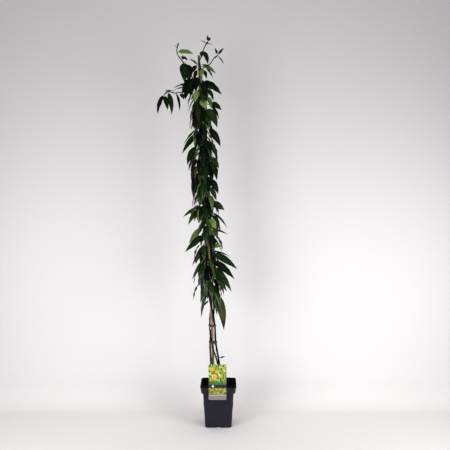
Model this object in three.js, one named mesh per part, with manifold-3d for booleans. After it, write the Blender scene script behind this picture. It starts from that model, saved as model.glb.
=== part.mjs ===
// A young evergreen honeysuckle with copper new growth, trained up a bamboo cane in a square nursery pot.
// Millimetres, +Z up. The front of the pot faces -Y, and the origin is the centre of its underside.
import * as THREE from 'three';
import { mergeVertices } from 'three/addons/utils/BufferGeometryUtils.js';
import Module from 'manifold-3d';

const wasm = await Module();
wasm.setup();

// Pot: a thin moulded square taper with a deeper collar round its mouth
const POT_HEIGHT = 165;
const RIM_HALF = 72.5;
const COLLAR_HEIGHT = 24;
const COLLAR_FOOT_HALF = 68.5;
const BODY_TOP_HALF = 62;
const BASE_HALF = 53.5;
const POT_WALL = 1.4;
const RIM_CORNER = 14;
const BASE_CORNER = 11;
const CORNER_STEPS = 3;
const DRAIN_RADIUS = 6;
const DRAIN_OFFSET = 32;
const NOTCH_WIDTH = 16;
const NOTCH_HEIGHT = 4;
const NOTCH_DEPTH = 4;
const DRAIN_SIDES = 12;

// Soil, cane and stems
const GAP = 0.35;
const SOIL_TOP = 139;
const CANE_BOTTOM = 22;
const CANE_TOP = 1519;
const CANE_FOOT_X = -19;
const CANE_TOP_X = -82;
const CANE_BOW = 5;
const CANE_BOW_LENGTH = 850;
const CANE_RADIUS = [5.6, 4.9];
const CANE_SIDES = 8;
const CANE_NODE_RISE = 0.8;
const CANE_NODE_HALF_LENGTH = 4;
const CANE_NODES = [96, 218, 362, 528, 705, 893, 1084, 1277, 1458];
const STEM_BOTTOM = 92;
const STEM_SIDES = 5;
const STEM_STEP = 34;
const SHOOT_TIP_RADIUS = 1.35;
const SHOOT_END = 3;
const TWINE_PITCH = 340;
const TWINE_CLEARANCE = 0.9;
const TWINE_LEVEL = 400;

// Leaves
const BLADE_THICKNESS = 0.8;
const PETIOLE_HALF_WIDTH = 0.9;
const PETIOLE_LENGTH = 9;
const LEAST_RUN_ON = 0.15;
const ATTACH_LIFTS = [0.3, 0.8, 0, 1.2];
const MOST_LIFT = 30;
const BLADE_STATIONS = [0, 0.18, 0.58];

// Label: a card with a tongue at its back, hooked over the rim
const LABEL_WIDTH = 71;
const LABEL_FOOT = 119;
const LABEL_HEIGHT = 142;
const LABEL_X = -3;
const LABEL_THICKNESS = 0.8;
const LABEL_CORNER = 5;
const LABEL_CORNER_STEPS = 4;
const TONGUE_WIDTH = 22;
const TONGUE_DEPTH = 18;

// Ties round the cane and its stems, from the soil up
const TIES = [
  { name: 'tie_low', level: 333, halfWidth: 18.6, halfDepth: 17.6, shift: 2.4 },
  { name: 'tie_middle', level: 402, halfWidth: 15.6, halfDepth: 15.6, shift: 1 },
  { name: 'tie_upper', level: 560, halfWidth: 15.1, halfDepth: 15.1, shift: 0 },
  { name: 'tie_top', level: 858, halfWidth: 14.5, halfDepth: 14.5, shift: 0 },
];
const TIE_RADIUS = 1.2;
const TIE_SIDES = 4;
const TIE_STEPS = 12;

// Where the viewer of the reference stood: a point given by its column and row in that
// 450 by 450 frame and by its depth lies on the line of sight through the pixel
const VIEW_DISTANCE = 2421.5;
const VIEW_HEIGHT = 820.9;
const VIEW_X = 26.9;
const VIEW_FOCAL_PIXELS = 585;
const VIEW_CENTRE_PIXEL = 225;

const COLOURS = {
  pot: 0x2a2833,
  soil: 0x1a1310,
  cane: 0xb89f78,
  foliage: 0x1f3d1b,
  label: 0xb9b84a,
  tie: 0x6b665c,
};

// Each stem: its offset from the cane at the soil, the heights between which it closes in on
// the cane, its place round the cane at TWINE_LEVEL, its radii at foot and end, its end, the
// heights between which it bears leaves, and its free shoots, each from a level on the stem
// through points given by pixel and depth
const STEMS = [
  {
    name: 'leafy_stem_right',
    foot: [25, 4],
    closing: [230, 420],
    phase: 0,
    radius: [4.3, 1.9],
    end: 1500,
    leaves: [578, 1440],
    shoots: [
      {
        level: 1494,
        points: [[201.4, 57, -8], [203.2, 51.5, -8], [204.6, 47.6, -7], [206.6, 44.4, -7], [208.2, 42, -7]],
      },
      {
        level: 1456,
        points: [[205, 67.6, -10], [210.2, 64.6, -10], [213.2, 60, -10], [217.6, 56.2, -9]],
      },
    ],
  },
  {
    name: 'leafy_stem_back',
    foot: [-13, -4],
    closing: [190, 325],
    phase: 90,
    radius: [3.9, 1.9],
    end: 1404,
    leaves: [590, 1390],
    shoots: [
      {
        level: 1398,
        points: [[193, 79, -2], [187.6, 70, -6], [182.6, 62.5, -8], [179.2, 58, -7], [177, 53, -5],
          [177.3, 48, -4], [178.6, 43.4, -4]],
      },
    ],
  },
  {
    name: 'leafy_stem_left',
    foot: [22, -8],
    closing: [200, 320],
    phase: 180,
    radius: [3.2, 1.7],
    end: 1345,
    leaves: [602, 1320],
    shoots: [
      {
        level: 1339,
        points: [[190, 93.5, -10], [181, 93.1, -12], [174, 93.8, -12], [168.5, 92.3, -12],
          [164.4, 95.4, -12]],
      },
    ],
  },
];

// Leaves that give the plant its outline, each from the pixel of its base and depth to the
// pixel of its tip and depth, then its width in pixels, how far it turns its face to the
// viewer (0 to 1) and how far it arches in degrees. Before them stand the stem, the free
// shoot and the point of it that bears the leaf, where one does.
const SHOOT_LEAVES = [
  ['leafy_stem_right', 0, 3, [206.4, 44.2, -8], [200.2, 41.2, -16], 1.6, 0.5, 14],
  ['leafy_stem_right', 0, 3, [207.4, 44.2, -6], [212.8, 45.8, 2], 1.8, 0.4, 16],
  ['leafy_stem_right', 0, 4, [208.1, 41.6, -8], [207.2, 35.8, -9], 2.2, 0.8, 6],
  ['leafy_stem_right', 0, 4, [208.6, 41.4, -6], [210.4, 38, -2], 2, 0.8, 8],
  ['leafy_stem_right', 0, 1, [202.2, 52.2, -10], [201.6, 58.4, -16], 4, 0.7, 12],
  ['leafy_stem_right', 0, 1, [204, 52.4, -8], [207.9, 65.2, -12], 4.6, 0.8, 14],
  ['leafy_stem_right', 1, 3, [217, 54.4, -9], [214.8, 48.6, -6], 1.9, 0.6, 8],
  ['leafy_stem_right', 1, 3, [218.5, 55, -9], [224, 48.6, -12], 2.2, 0.7, 8],
  ['leafy_stem_right', 1, 3, [218.6, 57.4, -10], [223.8, 65, -18], 1.5, 0.4, 10],
  ['leafy_stem_back', 0, 4, [178.6, 52.7, -5], [193.6, 55.2, -10], 5.4, 0.75, 24],
  ['leafy_stem_back', 0, 3, [181, 57.6, -8], [187.6, 61.4, -16], 3, 0.6, 26],
  ['leafy_stem_back', 0, 2, [182.8, 60.4, -8], [182.6, 55.6, -14], 2.6, 0.8, 10],
  ['leafy_stem_back', 0, 6, [178.7, 42.8, -4], [179, 38.6, -6], 1.2, 0.4, 6],
  ['leafy_stem_back', 0, 5, [176.8, 48.2, -4], [174.4, 46, -2], 1, 0.3, 6],
  ['leafy_stem_back', 0, 2, [183.6, 64, -10], [184.4, 83.4, -16], 9, 0.9, 12],
  ['leafy_stem_back', 0, 2, [187, 65.4, -8], [188.4, 82.4, -12], 9, 0.85, 14],
  ['leafy_stem_back', 0, 0, [191.2, 80.6, -8], [185.4, 101, -18], 7.6, 0.9, 12],
  ['leafy_stem_back', 0, 0, [190.4, 79.4, -4], [182, 95, -8], 6.4, 0.85, 12],
  ['leafy_stem_back', 0, 0, [193.6, 81.4, -12], [190.6, 98.6, -26], 6.6, 0.85, 12],
  ['leafy_stem_left', 0, 4, [163.4, 96.4, -12], [158, 115.4, -14], 4.6, 0.8, 20],
  ['leafy_stem_left', 0, 4, [164.6, 97, -14], [167.6, 111, -18], 5, 0.8, 10],
  ['leafy_stem_left', 0, 3, [168.6, 94, -14], [171.8, 115.8, -20], 5, 0.8, 12],
  ['leafy_stem_left', 0, 2, [172, 91.4, -12], [165, 92.4, -26], 3, 0.4, 14],
  ['leafy_stem_left', 0, 2, [176.4, 94.4, -12], [179.4, 112.2, -14], 2.4, 0.5, 16],
  ['leafy_stem_left', 0, 1, [181, 94.4, -14], [184.4, 100.6, -24], 4.6, 0.7, 16],
];
const OUTLINE_LEAVES = [
  [[197, 65, -6], [188.6, 59.6, -12], 3, 0.5, 20],
  [[196.4, 66.2, -8], [191.2, 75, -14], 4.6, 0.8, 12],
  [[196.6, 71, -10], [194.4, 82.6, -18], 3.6, 0.7, 12],
  [[202.4, 65.4, -8], [215.8, 74.8, -12], 4.4, 0.7, 18],
  [[206, 68.4, -12], [212.8, 79.2, -16], 2.2, 0.5, 16],
  [[202.6, 69.6, -12], [201, 79, -22], 4.4, 0.8, 12],
  [[204, 71, -10], [206.4, 79.6, -14], 3, 0.7, 12],
  [[204.4, 82, -10], [221.8, 95.6, -14], 7, 0.8, 12],
  [[204, 85.4, -18], [216, 91, -26], 5.6, 0.7, 10],
  [[208.6, 90, -10], [213.6, 101, -12], 3.4, 0.7, 10],
  [[189.4, 84.6, -10], [172.8, 89.4, -14], 2.8, 0.5, 18],
  [[188, 87, -14], [171.4, 93.2, -20], 2.6, 0.4, 12],
  [[198, 78, -12], [194.6, 92, -22], 6.5, 0.85, 12],
  [[203, 82, -16], [204.6, 100, -30], 7, 0.9, 12],
  [[193.6, 79, -12], [189.4, 95, -22], 7, 0.85, 12],
  [[194, 86, -16], [187, 102.6, -28], 6, 0.9, 12],
  [[197.4, 92, -16], [195.4, 103, -28], 5.6, 0.9, 14],
  [[203, 90, -18], [203.6, 104, -32], 7, 0.9, 12],
  [[195.6, 102, -8], [192.6, 119.6, -14], 3.4, 0.7, 8],
  [[198.4, 93.6, -14], [191, 100.4, -30], 5, 0.6, 20],
  [[201.4, 101, -18], [205.6, 110, -34], 7, 0.7, 20],
  [[208, 98, -14], [211.6, 109.6, -20], 4, 0.8, 12],
  [[211, 103.8, -6], [221.6, 111.2, -8], 6.4, 0.8, 18],
  [[211.6, 106.6, -10], [218.8, 120, -12], 3, 0.6, 16],
  [[207.6, 109.8, -18], [217.2, 128.4, -28], 8, 0.9, 14],
  [[200, 106.6, -20], [199.4, 131.6, -32], 9, 0.9, 14],
  [[196.4, 110, -14], [194.6, 130, -24], 6, 0.8, 10],
  [[204, 112, -18], [206.6, 131, -30], 7, 0.9, 10],
  [[203, 126, -22], [203.6, 147, -36], 8, 0.9, 10],
  [[196, 130, -6], [183.6, 145.2, -8], 2.4, 0.5, 10],
  [[197.6, 133.6, -10], [182, 154.8, -16], 5.6, 0.8, 10],
  [[209.4, 129.4, -8], [220.6, 147.6, -12], 7, 0.9, 12],
  [[201, 132, -16], [199.6, 152, -28], 7, 0.9, 10],
  [[208, 141.4, -10], [215.8, 155.8, -14], 3, 0.6, 20],
  [[206, 141, -16], [209, 161, -28], 8, 0.9, 12],
  [[203.4, 146, -26], [203.8, 168, -40], 8.5, 0.9, 10],
  [[196, 148, -8], [187.2, 166, -16], 7.2, 0.85, 14],
  [[194, 158, -12], [188.8, 172, -18], 2.6, 0.5, 16],
  [[197, 160, -12], [191, 174, -20], 4, 0.7, 14],
  [[210.6, 158, -10], [218.8, 169.6, -14], 6, 0.8, 16],
  [[211, 165.6, -14], [217, 177.6, -18], 3.4, 0.7, 12],
  [[201, 158, -16], [200.6, 180, -30], 8, 0.9, 12],
  [[205, 163, -24], [205.4, 185, -38], 8, 0.9, 10],
  [[197.4, 174, -10], [194, 200.8, -18], 7.2, 0.9, 12],
  [[211, 180, -10], [218.2, 195, -14], 6, 0.8, 12],
  [[206, 176, -16], [207.4, 199, -30], 8, 0.9, 12],
  [[210, 188, -14], [216.4, 201.4, -18], 5, 0.8, 12],
  [[201.6, 184, -22], [201, 205, -36], 8, 0.9, 10],
  [[209.4, 196, -18], [209.6, 219, -30], 7.5, 0.9, 10],
  [[196.6, 208.8, -6], [183, 218, -8], 3.4, 0.7, 12],
  [[199, 210.6, -10], [188.4, 225.8, -14], 5, 0.8, 18],
  [[212.6, 203.4, -10], [224.6, 210.8, -14], 7, 0.9, 8],
  [[213.6, 213.6, -8], [227, 228.8, -12], 2.2, 0.5, 16],
  [[214.4, 215.6, -12], [219.6, 231, -16], 3.2, 0.6, 14],
  [[208.6, 220.4, -16], [215.8, 229.6, -34], 8, 0.8, 18],
  [[211.6, 229.2, -6], [228.4, 235.2, -8], 2.2, 0.5, 8],
  [[212.4, 230.4, -14], [213.6, 240.6, -22], 4, 0.8, 10],
  [[206.6, 226, -20], [205.8, 248, -34], 7, 0.9, 10],
  [[200.6, 229.4, -14], [188.8, 244.4, -22], 5.6, 0.8, 8],
  [[206.4, 232.4, -20], [206.2, 242, -32], 3.4, 0.8, 10],
  [[203, 236.4, -10], [184.8, 253, -12], 6.4, 0.8, 6],
  [[213.4, 246.8, -14], [222.6, 247.4, -26], 5, 0.6, 16],
  [[204.6, 245, -10], [192.2, 267, -12], 3.4, 0.7, 8],
  [[205.6, 248, -14], [199.2, 266, -20], 5, 0.8, 8],
  [[213, 252, -6], [231.4, 258.6, -8], 2, 0.4, 18],
  [[214.6, 254.4, -10], [237.4, 270, -14], 6.8, 0.85, 10],
  [[211.6, 262, -20], [213, 284, -32], 8, 0.9, 10],
  [[214.6, 262, -12], [234.6, 280, -16], 7, 0.8, 10],
  [[214.6, 268, -14], [231.8, 293, -20], 6.6, 0.8, 10],
  [[214, 273, -12], [227, 292.6, -18], 6, 0.8, 8],
  [[206, 259, -10], [192, 280.4, -14], 5, 0.7, 8],
  [[207, 261, -14], [198, 287, -22], 6.4, 0.8, 8],
  [[208, 266, -16], [201.2, 294, -24], 7, 0.9, 8],
  [[214, 286, -14], [220.6, 312.6, -20], 6, 0.8, 8],
  [[213.6, 293, -12], [216.8, 316, -18], 5, 0.8, 8],
  [[217.6, 296, -8], [223.8, 331, -14], 8.4, 0.95, 10],
  [[207, 293, 4], [201.4, 319, 6], 2.8, 0.7, 12],
  [[208.4, 301.6, -8], [203, 307.8, -10], 1.8, 0.5, 14],
  [[220.4, 358.6, -4], [225.2, 357, -8], 1.4, 0.6, 10],
];

// The rest of the foliage follows one rule up every stem
const LEAF_SEED = 4127;
const INTERNODE = [54, 22];
const SPREAD_DEGREES = [34, 26];
const PITCH_DEGREES = [-58, -16];
const ARCH_DEGREES = [12, 16];
const ROLL_DEGREES = 50;
const LEAF_LENGTH = [72, 26];
const LEAF_TAPER_WITH_HEIGHT = 0.14;
const LEAF_SLENDERNESS = [0.3, 0.06];
const SHOOT_REACH = [12, 10];
const SHOOT_ABOVE = 12;
const SHOOT_SPREAD_DEGREES = 70;
const SHOOT_STEEPER_DEGREES = 8;

// A leaf that would cross another is turned by these steps (round the cane and down, degrees).
// A leaf with a place of its own takes only the small ones.
const SMALL_TURNS = [[0, 0], [9, 0], [-9, 0], [0, -7], [0, 7], [18, -4], [-18, -4], [27, -8], [-27, -8]];
const TURNS = [...SMALL_TURNS, [12, 9], [-12, 9], [38, -10], [-38, -10], [50, -4], [-50, -4]];
const TEST_GROWTH = 0.35;

const radians = THREE.MathUtils.degToRad;
const vector = (x, y, z) => new THREE.Vector3(x, y, z);

function seeded(seed) {
  let state = seed;
  return () => {
    state = (state * 16807) % 2147483647;
    return state / 2147483647;
  };
}

// A value from a range given as [least, extent]
const pick = ([least, extent], draw) => least + extent * draw;

function smooth(low, high, value) {
  const t = Math.min(Math.max((value - low) / (high - low), 0), 1);
  return t * t * (3 - 2 * t);
}

function solid(points, faces) {
  const vertProperties = new Float32Array(points.flatMap((p) => [p.x, p.y, p.z]));
  const triVerts = new Uint32Array(faces.flat());
  return new wasm.Manifold(new wasm.Mesh({ numProp: 3, vertProperties, triVerts }));
}

function solidFrom(geometry) {
  const bare = geometry.clone();
  bare.deleteAttribute('normal');
  bare.deleteAttribute('uv');
  const merged = mergeVertices(bare, 1e-4);
  const vertProperties = new Float32Array(merged.attributes.position.array);
  const triVerts = new Uint32Array(merged.index.array);
  return new wasm.Manifold(new wasm.Mesh({ numProp: 3, vertProperties, triVerts }));
}

// Rings of points, each anticlockwise seen against the way they are stacked. A closed loft
// joins its last ring to its first, and an open one has flat ends.
function loft(rings, closed = false) {
  const count = rings[0].length;
  const faces = [];
  const spans = closed ? rings.length : rings.length - 1;
  for (let ring = 0; ring < spans; ring++) {
    const low = ring * count;
    const high = ((ring + 1) % rings.length) * count;
    for (let i = 0; i < count; i++) {
      const next = (i + 1) % count;
      faces.push([low + i, low + next, high + next], [low + i, high + next, high + i]);
    }
  }
  if (!closed) {
    const last = (rings.length - 1) * count;
    for (let i = 1; i + 1 < count; i++) {
      faces.push([0, i + 1, i], [last, last + i, last + i + 1]);
    }
  }
  return solid(rings.flat(), faces);
}

function squareRing(half, corner, z) {
  const ring = [];
  for (let quarter = 0; quarter < 4; quarter++) {
    const middle = Math.PI / 4 + (quarter * Math.PI) / 2;
    const centreX = Math.sign(Math.cos(middle)) * (half - corner);
    const centreY = Math.sign(Math.sin(middle)) * (half - corner);
    for (let step = 0; step <= CORNER_STEPS; step++) {
      const angle = (quarter + step / CORNER_STEPS) * (Math.PI / 2);
      ring.push(vector(centreX + corner * Math.cos(angle), centreY + corner * Math.sin(angle), z));
    }
  }
  return ring;
}

// A tube through points with a radius at each
function tube(points, radii, sides) {
  const rings = [];
  let across = null;
  points.forEach((point, i) => {
    const before = points[Math.max(i - 1, 0)];
    const after = points[Math.min(i + 1, points.length - 1)];
    const along = after.clone().sub(before).normalize();
    const hint = across ?? vector(1, 0.3, 0.2);
    across = hint.clone().addScaledVector(along, -hint.dot(along)).normalize();
    const other = along.clone().cross(across);
    const ring = [];
    for (let side = 0; side < sides; side++) {
      const angle = (side * 2 * Math.PI) / sides;
      ring.push(point.clone()
        .addScaledVector(across, radii[i] * Math.cos(angle))
        .addScaledVector(other, radii[i] * Math.sin(angle)));
    }
    rings.push(ring);
  });
  return loft(rings);
}

function box(width, depth, height, x, y, z) {
  const geometry = new THREE.BoxGeometry(width, depth, height);
  geometry.translate(x, y, z);
  return solidFrom(geometry);
}

function asMesh(name, shape, color, roughness) {
  const { vertProperties, triVerts } = shape.getMesh();
  const geometry = new THREE.BufferGeometry();
  geometry.setAttribute('position', new THREE.BufferAttribute(new Float32Array(vertProperties), 3));
  geometry.setIndex(new THREE.BufferAttribute(new Uint32Array(triVerts), 1));
  geometry.computeVertexNormals();
  const material = new THREE.MeshStandardMaterial({ color, roughness, metalness: 0 });
  const mesh = new THREE.Mesh(geometry, material);
  mesh.name = name;
  return mesh;
}

// The pot and its soil

const COLLAR_FOOT = POT_HEIGHT - COLLAR_HEIGHT;

function potRings(inset, floor, top) {
  const reach = (top - COLLAR_FOOT) / COLLAR_HEIGHT;
  const rimHalf = COLLAR_FOOT_HALF + (RIM_HALF - COLLAR_FOOT_HALF) * reach - inset;
  return [
    squareRing(BASE_HALF - inset, BASE_CORNER - inset, floor),
    squareRing(BODY_TOP_HALF - inset, BASE_CORNER - inset, COLLAR_FOOT + inset),
    squareRing(COLLAR_FOOT_HALF - inset, RIM_CORNER - inset, COLLAR_FOOT + inset),
    squareRing(rimHalf, RIM_CORNER - inset, top),
  ];
}

function potShape() {
  let shape = loft(potRings(0, 0, POT_HEIGHT)).subtract(loft(potRings(POT_WALL, POT_WALL, POT_HEIGHT + 1)));
  for (const [x, y] of [[1, 1], [-1, 1], [-1, -1], [1, -1]]) {
    const hole = new THREE.CylinderGeometry(DRAIN_RADIUS, DRAIN_RADIUS, 3 * POT_WALL, DRAIN_SIDES);
    hole.rotateX(Math.PI / 2);
    hole.translate(x * DRAIN_OFFSET, y * DRAIN_OFFSET, POT_WALL / 2);
    shape = shape.subtract(solidFrom(hole));
  }
  const depth = 2 * NOTCH_DEPTH;
  const height = 2 * NOTCH_HEIGHT;
  for (const side of [-1, 1]) {
    shape = shape.subtract(box(NOTCH_WIDTH, depth, height, 0, side * BASE_HALF, 0));
    shape = shape.subtract(box(depth, NOTCH_WIDTH, height, side * BASE_HALF, 0, 0));
  }
  return shape;
}

// Soil with a plain hole for the cane and for each stem
function soilShape() {
  const inset = POT_WALL + GAP;
  const half = (z) => BASE_HALF + ((BODY_TOP_HALF - BASE_HALF) * z) / COLLAR_FOOT - inset;
  const block = loft([
    squareRing(half(inset), BASE_CORNER - inset, inset),
    squareRing(half(SOIL_TOP), BASE_CORNER - inset, SOIL_TOP),
  ]);
  const holes = STEMS.map((stem) => stemTube(stem, GAP, STEM_BOTTOM - GAP));
  return [caneShape(GAP), ...holes].reduce((shape, hole) => shape.subtract(hole), block);
}

// The cane and the stems

function caneAt(z) {
  const rise = (z - SOIL_TOP) / (CANE_TOP - SOIL_TOP);
  const bow = Math.min(Math.max((z - SOIL_TOP) / CANE_BOW_LENGTH, 0), 1);
  return vector(CANE_FOOT_X + (CANE_TOP_X - CANE_FOOT_X) * rise + CANE_BOW * Math.sin(Math.PI * bow), 0, z);
}

function caneRadius(z) {
  const rise = (z - CANE_BOTTOM) / (CANE_TOP - CANE_BOTTOM);
  return CANE_RADIUS[0] + (CANE_RADIUS[1] - CANE_RADIUS[0]) * rise;
}

function caneShape(growth = 0) {
  const levels = [[CANE_BOTTOM - growth, 0]];
  for (const node of CANE_NODES) {
    levels.push([node - CANE_NODE_HALF_LENGTH, 0], [node, CANE_NODE_RISE], [node + CANE_NODE_HALF_LENGTH, 0]);
  }
  levels.push([CANE_TOP, 0]);
  const points = levels.map(([z]) => caneAt(z));
  return tube(points, levels.map(([z, rise]) => caneRadius(z) + rise + growth), CANE_SIDES);
}

function stemRadius(stem, z) {
  const rise = (z - STEM_BOTTOM) / (stem.end - STEM_BOTTOM);
  return stem.radius[0] + (stem.radius[1] - stem.radius[0]) * rise;
}

// The angle round the cane: clockwise from above as the stem climbs, as honeysuckle twines
function stemAngle(stem, z) {
  return radians(stem.phase) - (2 * Math.PI * (z - TWINE_LEVEL)) / TWINE_PITCH;
}

function stemAt(stem, z) {
  const hug = caneRadius(z) + CANE_NODE_RISE + stemRadius(stem, z) + TWINE_CLEARANCE;
  const angle = stemAngle(stem, z);
  const closed = smooth(stem.closing[0], stem.closing[1], z);
  const x = stem.foot[0] * (1 - closed) + hug * Math.cos(angle) * closed;
  const y = stem.foot[1] * (1 - closed) + hug * Math.sin(angle) * closed;
  const keep = Math.max(1, hug / Math.hypot(x, y));
  return caneAt(z).add(vector(x * keep, y * keep, 0));
}

function inView([column, row, depth]) {
  const scale = (VIEW_DISTANCE + depth) / VIEW_FOCAL_PIXELS;
  const x = VIEW_X + (column - VIEW_CENTRE_PIXEL) * scale;
  const z = VIEW_HEIGHT - (row - VIEW_CENTRE_PIXEL) * scale;
  return vector(x, depth, z);
}

function stemTube(stem, growth, bottom) {
  const points = [];
  const radii = [];
  for (let z = bottom; z < stem.end - STEM_STEP / 2; z += STEM_STEP) {
    points.push(stemAt(stem, z));
    radii.push(stemRadius(stem, z) + growth);
  }
  points.push(stemAt(stem, stem.end));
  radii.push(stem.radius[1] + growth);
  return tube(points, radii, STEM_SIDES);
}

function shootTube(stem, { level, points }) {
  const path = [stemAt(stem, level), ...points.map(inView)];
  const [last, end] = path.slice(-2);
  path.push(end.clone().addScaledVector(end.clone().sub(last).normalize(), SHOOT_END));
  const taper = (stem.radius[1] - SHOOT_TIP_RADIUS) / (path.length - 1);
  return tube(path, path.map((_, i) => stem.radius[1] - i * taper), STEM_SIDES);
}

// The leaves

// Half the blade's width at s, from its base (0) to its tip (1), as a part of the widest
function bladeProfile(s) {
  return 3.2 * Math.pow(s, 0.6) * Math.pow(1 - s, 1.2);
}

// The blade's midrib is an arc in the upright plane of its azimuth: its place, side and
// normal at s
function bladeFrame(leaf, s) {
  const start = leaf.pitch + leaf.arch;
  const turn = -2 * leaf.arch;
  const slope = start + turn * s;
  const out = (leaf.length * (Math.sin(slope) - Math.sin(start))) / turn;
  const up = (leaf.length * (Math.cos(start) - Math.cos(slope))) / turn;
  const outward = vector(Math.cos(leaf.azimuth), Math.sin(leaf.azimuth), 0);
  const place = leaf.base.clone().addScaledVector(outward, out).add(vector(0, 0, up));
  const along = outward.clone().multiplyScalar(Math.cos(slope)).add(vector(0, 0, Math.sin(slope)));
  const level = vector(-Math.sin(leaf.azimuth), Math.cos(leaf.azimuth), 0);
  const raised = along.clone().cross(level);
  const side = level.multiplyScalar(Math.cos(leaf.roll)).addScaledVector(raised, Math.sin(leaf.roll));
  return { place, side, normal: along.cross(side) };
}

// One leaf with its petiole: a thin blade whose two faces are split into triangles alike
function leafShape(leaf, growth = 0, withPetiole = true) {
  const half = BLADE_THICKNESS / 2 + growth;
  const frames = BLADE_STATIONS.map((s) => bladeFrame(leaf, s));
  const widths = BLADE_STATIONS.map((s) => Math.max((leaf.width / 2) * bladeProfile(s), PETIOLE_HALF_WIDTH));
  if (withPetiole) {
    frames.unshift({ ...frames[0], place: leaf.from });
    widths.unshift(PETIOLE_HALF_WIDTH);
  }
  const points = [];
  frames.forEach(({ place, side, normal }, i) => {
    for (const [across, raise] of [[1, 1], [-1, 1], [1, -1], [-1, -1]]) {
      points.push(place.clone()
        .addScaledVector(side, across * (widths[i] + growth))
        .addScaledVector(normal, raise * half));
    }
  });
  const tip = bladeFrame(leaf, 1);
  points.push(tip.place.clone().addScaledVector(tip.normal, half));
  points.push(tip.place.clone().addScaledVector(tip.normal, -half));
  const faces = [[0, 2, 3], [0, 3, 1]];
  for (let i = 0; i + 1 < frames.length; i++) {
    const [leftTop, rightTop, leftLow, rightLow] = [0, 1, 2, 3].map((k) => 4 * i + k);
    const [leftTop2, rightTop2, leftLow2, rightLow2] = [4, 5, 6, 7].map((k) => 4 * i + k);
    faces.push([rightTop, rightTop2, leftTop2], [rightTop, leftTop2, leftTop]);
    faces.push([rightLow, leftLow2, rightLow2], [rightLow, leftLow, leftLow2]);
    faces.push([leftTop, leftTop2, leftLow2], [leftTop, leftLow2, leftLow]);
    faces.push([rightTop, rightLow2, rightTop2], [rightTop, rightLow, rightLow2]);
  }
  const last = 4 * (frames.length - 1);
  const [tipTop, tipLow] = [last + 4, last + 5];
  faces.push([last + 1, tipTop, last], [last + 3, last + 2, tipLow]);
  faces.push([last, tipTop, tipLow], [last, tipLow, last + 2]);
  faces.push([last + 1, tipLow, tipTop], [last + 1, last + 3, tipLow]);
  return solid(points, faces);
}

// Whether a petiole reaches its blade from behind, without doubling back
function runsOn(leaf) {
  const start = leaf.pitch + leaf.arch;
  const along = vector(
    Math.cos(start) * Math.cos(leaf.azimuth),
    Math.cos(start) * Math.sin(leaf.azimuth),
    Math.sin(start),
  );
  return leaf.base.clone().sub(leaf.from).normalize().dot(along) > LEAST_RUN_ON;
}

// The roll that turns a blade's upper face to the viewer
function facingRoll(azimuth, pitch) {
  return Math.atan2(Math.cos(azimuth), Math.sin(azimuth) * Math.sin(pitch));
}

// A leaf between two points, arched, from the point that it grows on
function spannedLeaf(from, base, tip, width, facing, archDegrees, turn) {
  const chord = tip.clone().sub(base);
  const azimuth = Math.atan2(chord.y, chord.x) + radians(turn[0]);
  const pitch = Math.asin(chord.z / chord.length()) + radians(turn[1]);
  const arch = radians(archDegrees);
  return {
    from, base, azimuth, pitch, arch,
    length: (chord.length() * arch) / Math.sin(arch),
    width,
    roll: facing * facingRoll(azimuth, pitch),
  };
}

const obstacles = [];

function crosses(shape, others) {
  const bounds = shape.boundingBox();
  return others.some((other) => {
    for (let axis = 0; axis < 3; axis++) {
      if (bounds.min[axis] > other.bounds.max[axis] || bounds.max[axis] < other.bounds.min[axis]) {
        return false;
      }
    }
    const common = shape.intersect(other.shape);
    const found = !common.isEmpty();
    common.delete();
    return found;
  });
}

function remember(node, shape, isBlade) {
  obstacles.push({ node, shape, isBlade, bounds: shape.boundingBox() });
}

const foliage = new Map(STEMS.map((stem) => [stem.name, []]));

// Keeps the first leaf that crosses nothing, or else the first that crosses no other node
function growLeaf(choices) {
  let second = null;
  for (const [node, leaf] of choices) {
    if (!runsOn(leaf)) continue;
    const wide = leafShape(leaf, TEST_GROWTH);
    const strangers = obstacles.filter((other) => other.node !== node);
    const clear = !crosses(wide, strangers);
    wide.delete();
    if (!clear) continue;
    const blade = leafShape(leaf, 0, false);
    const siblings = obstacles.filter((other) => other.node === node && other.isBlade);
    const free = !crosses(blade, siblings);
    if (free) {
      keepLeaf(node, leaf, blade);
      return;
    }
    second ??= [node, leaf];
    blade.delete();
  }
  if (second) {
    keepLeaf(second[0], second[1], leafShape(second[1], 0, false));
  }
}

function keepLeaf(node, leaf, blade) {
  const whole = leafShape(leaf);
  foliage.get(node).push(whole);
  remember(node, blade, true);
  remember(node, whole, false);
}

// The ties

function tieShape(tie) {
  const centre = caneAt(tie.level).add(vector(tie.shift, 0, 0));
  const rings = [];
  for (let step = 0; step < TIE_STEPS; step++) {
    const angle = (step * 2 * Math.PI) / TIE_STEPS;
    const outward = vector(Math.cos(angle), Math.sin(angle), 0);
    const middle = centre.clone().add(vector(tie.halfWidth * outward.x, tie.halfDepth * outward.y, 0));
    const ring = [];
    for (let side = 0; side < TIE_SIDES; side++) {
      const turn = (side * 2 * Math.PI) / TIE_SIDES;
      ring.push(middle.clone()
        .addScaledVector(outward, TIE_RADIUS * Math.cos(turn))
        .add(vector(0, 0, -TIE_RADIUS * Math.sin(turn))));
    }
    rings.push(ring);
  }
  return loft(rings, true);
}

// The label: a card with rounded corners, a bridge over the rim and a tongue that follows the
// inside of the collar

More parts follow.
